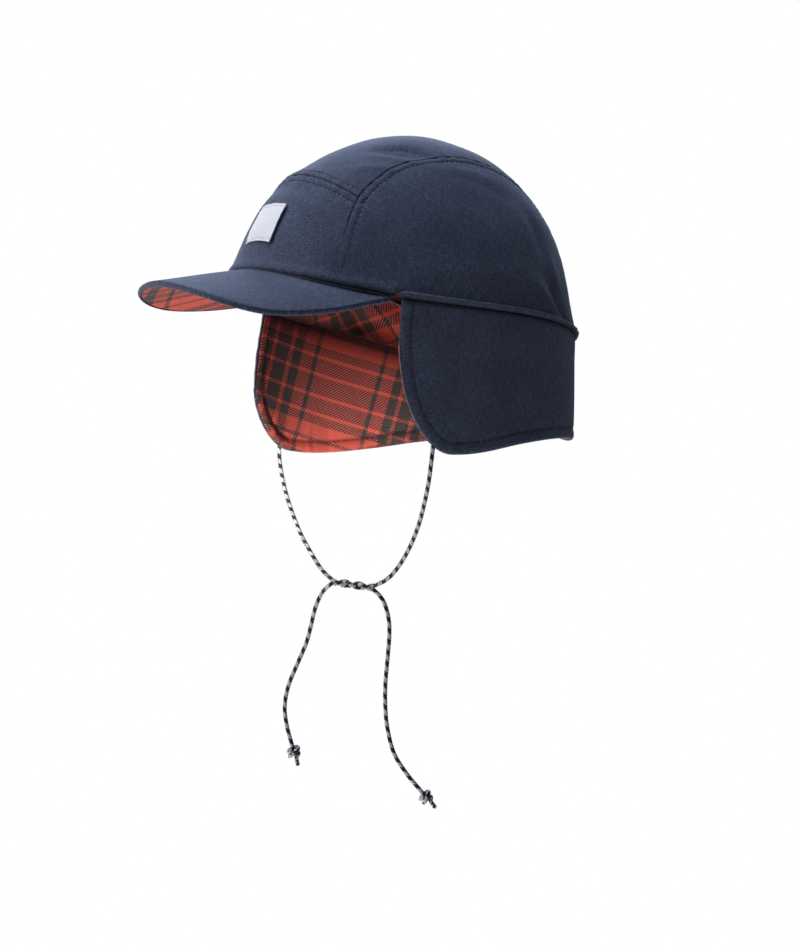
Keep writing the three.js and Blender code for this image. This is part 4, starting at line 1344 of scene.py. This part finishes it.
def stitch_tree():
    """Geometry Nodes: a stitch at even steps along each line, lying along it and on the cloth."""
    tree = bpy.data.node_groups.new("topstitch_rows", "GeometryNodeTree")
    add = partial(node, tree)
    sockets = (
        ("Lines", "INPUT", "NodeSocketGeometry"),
        ("Stitch Length", "INPUT", "NodeSocketFloat"),
        ("Stitch Gap", "INPUT", "NodeSocketFloat"),
        ("Thread Width", "INPUT", "NodeSocketFloat"),
        ("Thread", "INPUT", "NodeSocketMaterial"),
        ("Stitches", "OUTPUT", "NodeSocketGeometry"),
    )
    for name, way, kind in sockets:
        tree.interface.new_socket(name, in_out=way, socket_type=kind)
    given = add("NodeGroupInput").node.outputs
    curve = add("GeometryNodeMeshToCurve", {"Mesh": given["Lines"]})
    spacing = add(MATH, {0: given["Stitch Length"], 1: given["Stitch Gap"]}, operation="ADD")
    spaced = add("GeometryNodeResampleCurve", {"Curve": curve, "Length": spacing}, mode="LENGTH")
    ball = add("GeometryNodeMeshUVSphere", {"Segments": 6, "Rings": 5, "Radius": 0.5})
    width = given["Thread Width"]
    size = add("ShaderNodeCombineXYZ", {0: given["Stitch Length"], 1: width, 2: width})
    stitch = add("GeometryNodeTransform", {"Geometry": ball, "Scale": size})
    out = add("GeometryNodeInputNamedAttribute", {"Name": "out"}, data_type="FLOAT_VECTOR")
    tangent = add("GeometryNodeInputTangent")
    lie = add("FunctionNodeAlignRotationToVector", {"Vector": tangent}, axis="X")
    lie = add("FunctionNodeAlignRotationToVector", {"Rotation": lie, "Vector": out}, axis="Z", pivot_axis="X")
    placed = add("GeometryNodeInstanceOnPoints", {"Points": spaced, "Instance": stitch, "Rotation": lie})
    real = add("GeometryNodeRealizeInstances", {"Geometry": placed})
    smooth = add("GeometryNodeSetShadeSmooth", {"Geometry": real, "Shade Smooth": True})
    done = add("GeometryNodeSetMaterial", {"Geometry": smooth, "Material": given["Thread"]})
    add("NodeGroupOutput", {"Stitches": done})
    return tree


def sewn_piece(name, rows, settings, material, slot, tree):
    """Stitches along rows of (points, outward directions), as one plain mesh."""
    points, out = (np.concatenate([row[k] for row in rows]) for k in (0, 1))
    edges, first = [], 0
    for row, _ in rows:
        edges += [(first + k, first + k + 1) for k in range(len(row) - 1)]
        first += len(row)
    lines = bpy.data.meshes.new(name + "_lines")
    lines.from_pydata((points * MM).tolist(), edges, [])
    facing = lines.attributes.new("out", "FLOAT_VECTOR", "POINT")
    facing.data.foreach_set("vector", out.astype(np.float32).ravel())
    guide = add_object(name + "_lines", lines)
    modifier = guide.modifiers.new("Topstitch", "NODES")
    modifier.node_group = tree
    given = {item.name: item.identifier for item in tree.interface.items_tree if item.in_out == "INPUT"}
    values = {
        "Stitch Length": settings.length, "Stitch Gap": settings.gap, "Thread Width": settings.width,
        "Thread": material,
    }
    for key, value in values.items():
        modifier[given[key]] = value
    mesh = bpy.data.meshes.new_from_object(guide.evaluated_get(bpy.context.evaluated_depsgraph_get()))
    mesh.name = name
    bpy.data.objects.remove(guide)
    seat(add_object(name, mesh), material, slot)


def beside(line, out, offset, sink):
    """A row that runs this far to the right of a line, seen from outside, and is sunk a little."""
    way = unit(np.gradient(line, axis=0))
    return line + unit(np.cross(way, out)) * offset - out * sink


def crown_row(place, offset):
    """A row of stitches this far from a seam, and its outward directions."""
    line, out = crown_face(place)
    row = beside(line, out, offset, offset**2 / (2 * CROWN_RADIUS))
    return row + out * (crown_relief(row) - THREAD_DEPTH["crown"])[:, None], out


def crown_rows():
    """The rows beside the side seams, and on both sides of the front seam."""
    left = seam_place(np.linspace(*SIDE_ROW))
    front = front_seam(np.linspace(*FRONT_ROW))
    rows = ((left, 1), (mirrored(left), -1), (front, 1), (front, -1))
    return [crown_row(place, side * SEAM_STITCH) for place, side in rows]


def flap_rows():
    """The row round the flap's free edge, outside and inside."""
    base, out, flat = flap_grid(*FLAP_ROW_GRID)
    line, normal, relief = map(flap_edge_line, (base, out, flap_relief(base, flat)[..., None]))
    keep = np.concatenate([[True], np.linalg.norm(np.diff(line, axis=0), axis=1) > SAME_POINT])
    line, normal, relief = line[keep], normal[keep], relief[keep]
    row = beside(line, normal, -EDGE_STITCH, 0)
    inner = row[:, 2] < line[:, 2].max() - FLAP_ROW_START
    row, normal, relief = row[inner], normal[inner], relief[inner]
    outside = row + normal * (relief - THREAD_DEPTH["flap"])
    inside = row + normal * (relief - (CLOTH + GAP + FLANNEL) + THREAD_DEPTH["lining"])
    return [(outside, normal), (inside, -normal)]


def label_rows():
    """The rows along the label's top and bottom."""
    base, out, i, j = label_grid(*LABEL_ROW_GRID)
    lift = out * (crown_relief(base) + label_lift(i, j) + THREAD_DEPTH["label"])[..., None]
    keep = np.abs(i[:, 0]) < LABEL_ROW_COLUMNS
    return [((base + lift)[keep, k], out[keep, k]) for k in LABEL_ROWS_AT]


# Cords


def tie_turns(start, end):
    """One cord's turns round the other, between where it comes in and where it leaves."""
    start, end = np.array(start, float), np.array(end, float)
    way = unit(end - start)
    up = unit(np.array([0, 0, 1.0]) - way * way[2])
    across = np.cross(way, up)
    share = np.linspace(0, 1, TWIST_STEPS)[:, None]
    angle = ROUND * TWIST_TURNS * share
    return start + (end - start) * share + TWIST_RADIUS * (up * np.cos(angle) + across * np.sin(angle))


def knot_path(end, way):
    """Overhand knot: two slanting wraps round the cord, then its short tail."""
    way = unit(way)
    first = unit(np.cross(way, [0.2, 1, 0.1]))
    second = np.cross(way, first)
    points = []
    for turn, reach, along in KNOT_TURNS:
        angle = turn * DEGREE
        spoke = first * math.cos(angle) + second * math.sin(angle)
        if KNOT_TILT["beyond"] < reach:
            along = along + KNOT_TILT["slope"] * reach * math.cos(angle - KNOT_TILT["turn"])
        points.append(end + spoke * reach + way * along)
    return np.array(points)


def braid_radius(cord, length=None):
    """Radius of the braid, fuller at the middle of each crossing and tapered at a cut end."""
    half = cord.diameter / MM / 2

    def radius(along, angle):
        around = angle / ROUND * cord.strands
        steps = along * MM / cord.plait
        full = np.abs(np.sin(math.pi * (around + steps)) * np.sin(math.pi * (around - steps)))
        size = half * (BRAID["least"] + BRAID["fuller"] * full)
        if length is None:
            return size
        return size * np.sqrt(np.clip((length - along) / KNOT_TAPER["length"], KNOT_TAPER["least"], 1))

    return radius


def build_cord(name, route, cord, material):
    """One cord with its knot: down, round the other cord and down to its end."""
    inside = np.array(route["run"][0], float) + [0, 0, CORD_RISE]
    stops = np.vstack([inside, route["run"], tie_turns(*route["tie"]), route["tail"]])
    path, along = smooth_path(stops, CORD_SPACING)
    piece = tube_piece(f"cap_cord_{name}", path, along, braid_radius(cord))
    seat(piece, material, "cord_braid", f"cord_{name}")
    knot_line, knot_along = smooth_path(knot_path(path[-1], path[-1] - path[-6]), KNOT_SPACING)
    knot = tube_piece(f"cap_knot_{name}", knot_line, knot_along, braid_radius(cord, knot_along[-1]))
    seat(knot, material, "cord_braid", f"cord_knot_{name}")


# Stage


def area_light(name, row):
    """A round soft light."""
    data = bpy.data.lights.new(name, "AREA")
    data.spread = row.spread
    data.shape = "DISK"
    data.size = row.size
    data.energy = row.power
    data.color = row.colour
    light = add_object(name, data)
    light.location = row.place
    light.rotation_euler = (Vector(row.place) - Vector(row.aim)).to_track_quat("Z", "Y").to_euler()


def build_camera(stage):
    """Camera at the photograph's angle."""
    a, e = stage.azimuth, stage.elevation
    back = Vector((math.sin(a) * math.cos(e), -math.cos(a) * math.cos(e), math.sin(e)))
    right = Vector((math.cos(a), math.sin(a), 0))
    data = bpy.data.cameras.new("photo_camera")
    data.lens = stage.lens
    data.sensor_width = SENSOR_WIDTH
    data.clip_end = VIEW_FAR
    camera = add_object("photo_camera", data)
    camera.location = Vector(VIEW_MIDDLE) - right * VIEW_SHIFT + back * stage.distance
    camera.rotation_euler = back.to_track_quat("Z", "Y").to_euler()
    bpy.context.scene.camera = camera


def build_floor(stage):
    """A pale round floor, far below the cap."""
    height = CAD_BOX[0][2] - stage.floor_drop
    angles = [ROUND * k / FLOOR_SIDES for k in range(FLOOR_SIDES)]
    ring = [(FLOOR_REACH * math.cos(angle), FLOOR_REACH * math.sin(angle), height) for angle in angles]
    mesh = bpy.data.meshes.new("pale_floor")
    mesh.from_pydata(ring, [], [list(range(FLOOR_SIDES))])
    material = bpy.data.materials.new("pale_studio_floor")
    material.use_nodes = True
    shader = material.node_tree.nodes["Principled BSDF"]
    shader.inputs["Base Color"].default_value = (*stage.pale, 1)
    shader.inputs["Roughness"].default_value = 0.9
    shader.inputs["Specular IOR Level"].default_value = 0.0
    mesh.materials.append(material)
    floor = add_object("pale_floor", mesh)


def build_stage(stage):
    """Camera, floor, soft lights from the peak's side and above, and pale surroundings."""
    build_camera(stage)
    build_floor(stage)
    for name, row in LIGHTS.items():
        area_light(name, row)
    world = bpy.data.worlds.new("pale_studio")
    world.use_nodes = True
    add = partial(node, world.node_tree)
    surroundings = world.node_tree.nodes["Background"]
    surroundings.inputs["Color"].default_value = (*stage.pale, 1)
    strength = add(RANGE, {"Value": add("ShaderNodeLightPath"), "To Min": stage.dim, "To Max": 1.0})
    world.node_tree.links.new(strength, surroundings.inputs["Strength"])
    bpy.context.scene.world = world
    bpy.context.scene.view_settings.view_transform = "Standard"


# Operators


class CAP_OT_stage(bpy.types.Operator):
    """Set up the camera, lights and pale floor"""

    bl_idname = "cap.stage"
    bl_label = "Stage"

    def execute(self, context):
        build_stage(context.scene.earflap_cap.stage)
        return {"FINISHED"}


class CAP_OT_cords(bpy.types.Operator):
    """Make the two braided tie cords and their end knots"""

    bl_idname = "cap.cords"
    bl_label = "Tie cords"

    def execute(self, context):
        cord = context.scene.earflap_cap.cord
        material = braided_cord(cord)
        for name, route in CORDS.items():
            build_cord(name, route, cord, material)
        return {"FINISHED"}


class CAP_OT_crown(bpy.types.Operator):
    """Make the four crown panels and the rolled hem"""

    bl_idname = "cap.crown"
    bl_label = "Crown"

    def execute(self, context):
        material = heather_twill(context.scene.earflap_cap.cloth)
        build_panels(material)
        build_welt(material)
        return {"FINISHED"}


class CAP_OT_lining(bpy.types.Operator):
    """Make the plaid lining of the crown"""

    bl_idname = "cap.lining"
    bl_label = "Crown lining"

    def execute(self, context):
        build_lining(brushed_plaid(context.scene.earflap_cap.plaid))
        return {"FINISHED"}


class CAP_OT_peak(bpy.types.Operator):
    """Make the peak and its plaid underside"""

    bl_idname = "cap.peak"
    bl_label = "Peak"

    def execute(self, context):
        build_peak(*both_cloths())
        return {"FINISHED"}


class CAP_OT_flap(bpy.types.Operator):
    """Make the ear and neck flap with its plaid lining"""

    bl_idname = "cap.flap"
    bl_label = "Ear and neck flap"

    def execute(self, context):
        build_flap(*both_cloths())
        return {"FINISHED"}


class CAP_OT_label(bpy.types.Operator):
    """Make the bare woven label"""

    bl_idname = "cap.label"
    bl_label = "Label"

    def execute(self, context):
        build_label()
        return {"FINISHED"}


class CAP_OT_stitches(bpy.types.Operator):
    """Sew the topstitching along the seams, the flap's edge and the label"""

    bl_idname = "cap.stitches"
    bl_label = "Topstitching"

    def execute(self, context):
        settings = context.scene.earflap_cap.stitch
        tree = stitch_tree()
        navy = sewing_thread("navy_spun_thread", settings.thread)
        white = sewing_thread("white_spun_thread", settings.label_thread)
        sewn_piece("cap_topstitches", crown_rows() + flap_rows(), settings, navy, "navy_cloth", tree)
        sewn_piece("cap_label_stitches", label_rows(), settings, white, "label_cloth", tree)
        return {"FINISHED"}


class CAP_PT_sidebar(bpy.types.Panel):
    """Lists the cap's pieces and settings"""

    bl_idname = "CAP_PT_sidebar"
    bl_label = "Earflap cap"
    bl_space_type = "VIEW_3D"
    bl_region_type = "UI"
    bl_category = "Cap"

    def draw(self, context):
        settings = context.scene.earflap_cap
        for operator in OPERATORS:
            self.layout.operator(operator.bl_idname)
        for group in (settings.cloth, settings.plaid, settings.stitch, settings.cord, settings.stage):
            box = self.layout.box()
            for key in group.__annotations__:
                box.prop(group, key)


SETTINGS = (ClothSettings, PlaidSettings, StitchSettings, CordSettings, StageSettings, CapSettings)
OPERATORS = (
    CAP_OT_stage, CAP_OT_cords, CAP_OT_crown, CAP_OT_lining,
    CAP_OT_peak, CAP_OT_flap, CAP_OT_label, CAP_OT_stitches,
)
CLASSES = (*SETTINGS, *OPERATORS, CAP_PT_sidebar)


def register():
    for cls in CLASSES:
        bpy.utils.register_class(cls)
    bpy.types.Scene.earflap_cap = bpy.props.PointerProperty(type=CapSettings)


def unregister():
    del bpy.types.Scene.earflap_cap
    for cls in reversed(CLASSES):
        bpy.utils.unregister_class(cls)


def main():
    register()
    for operator in OPERATORS:
        family, action = operator.bl_idname.split(".")
        getattr(getattr(bpy.ops, family), action)()


if __name__ == "__main__":
    main()
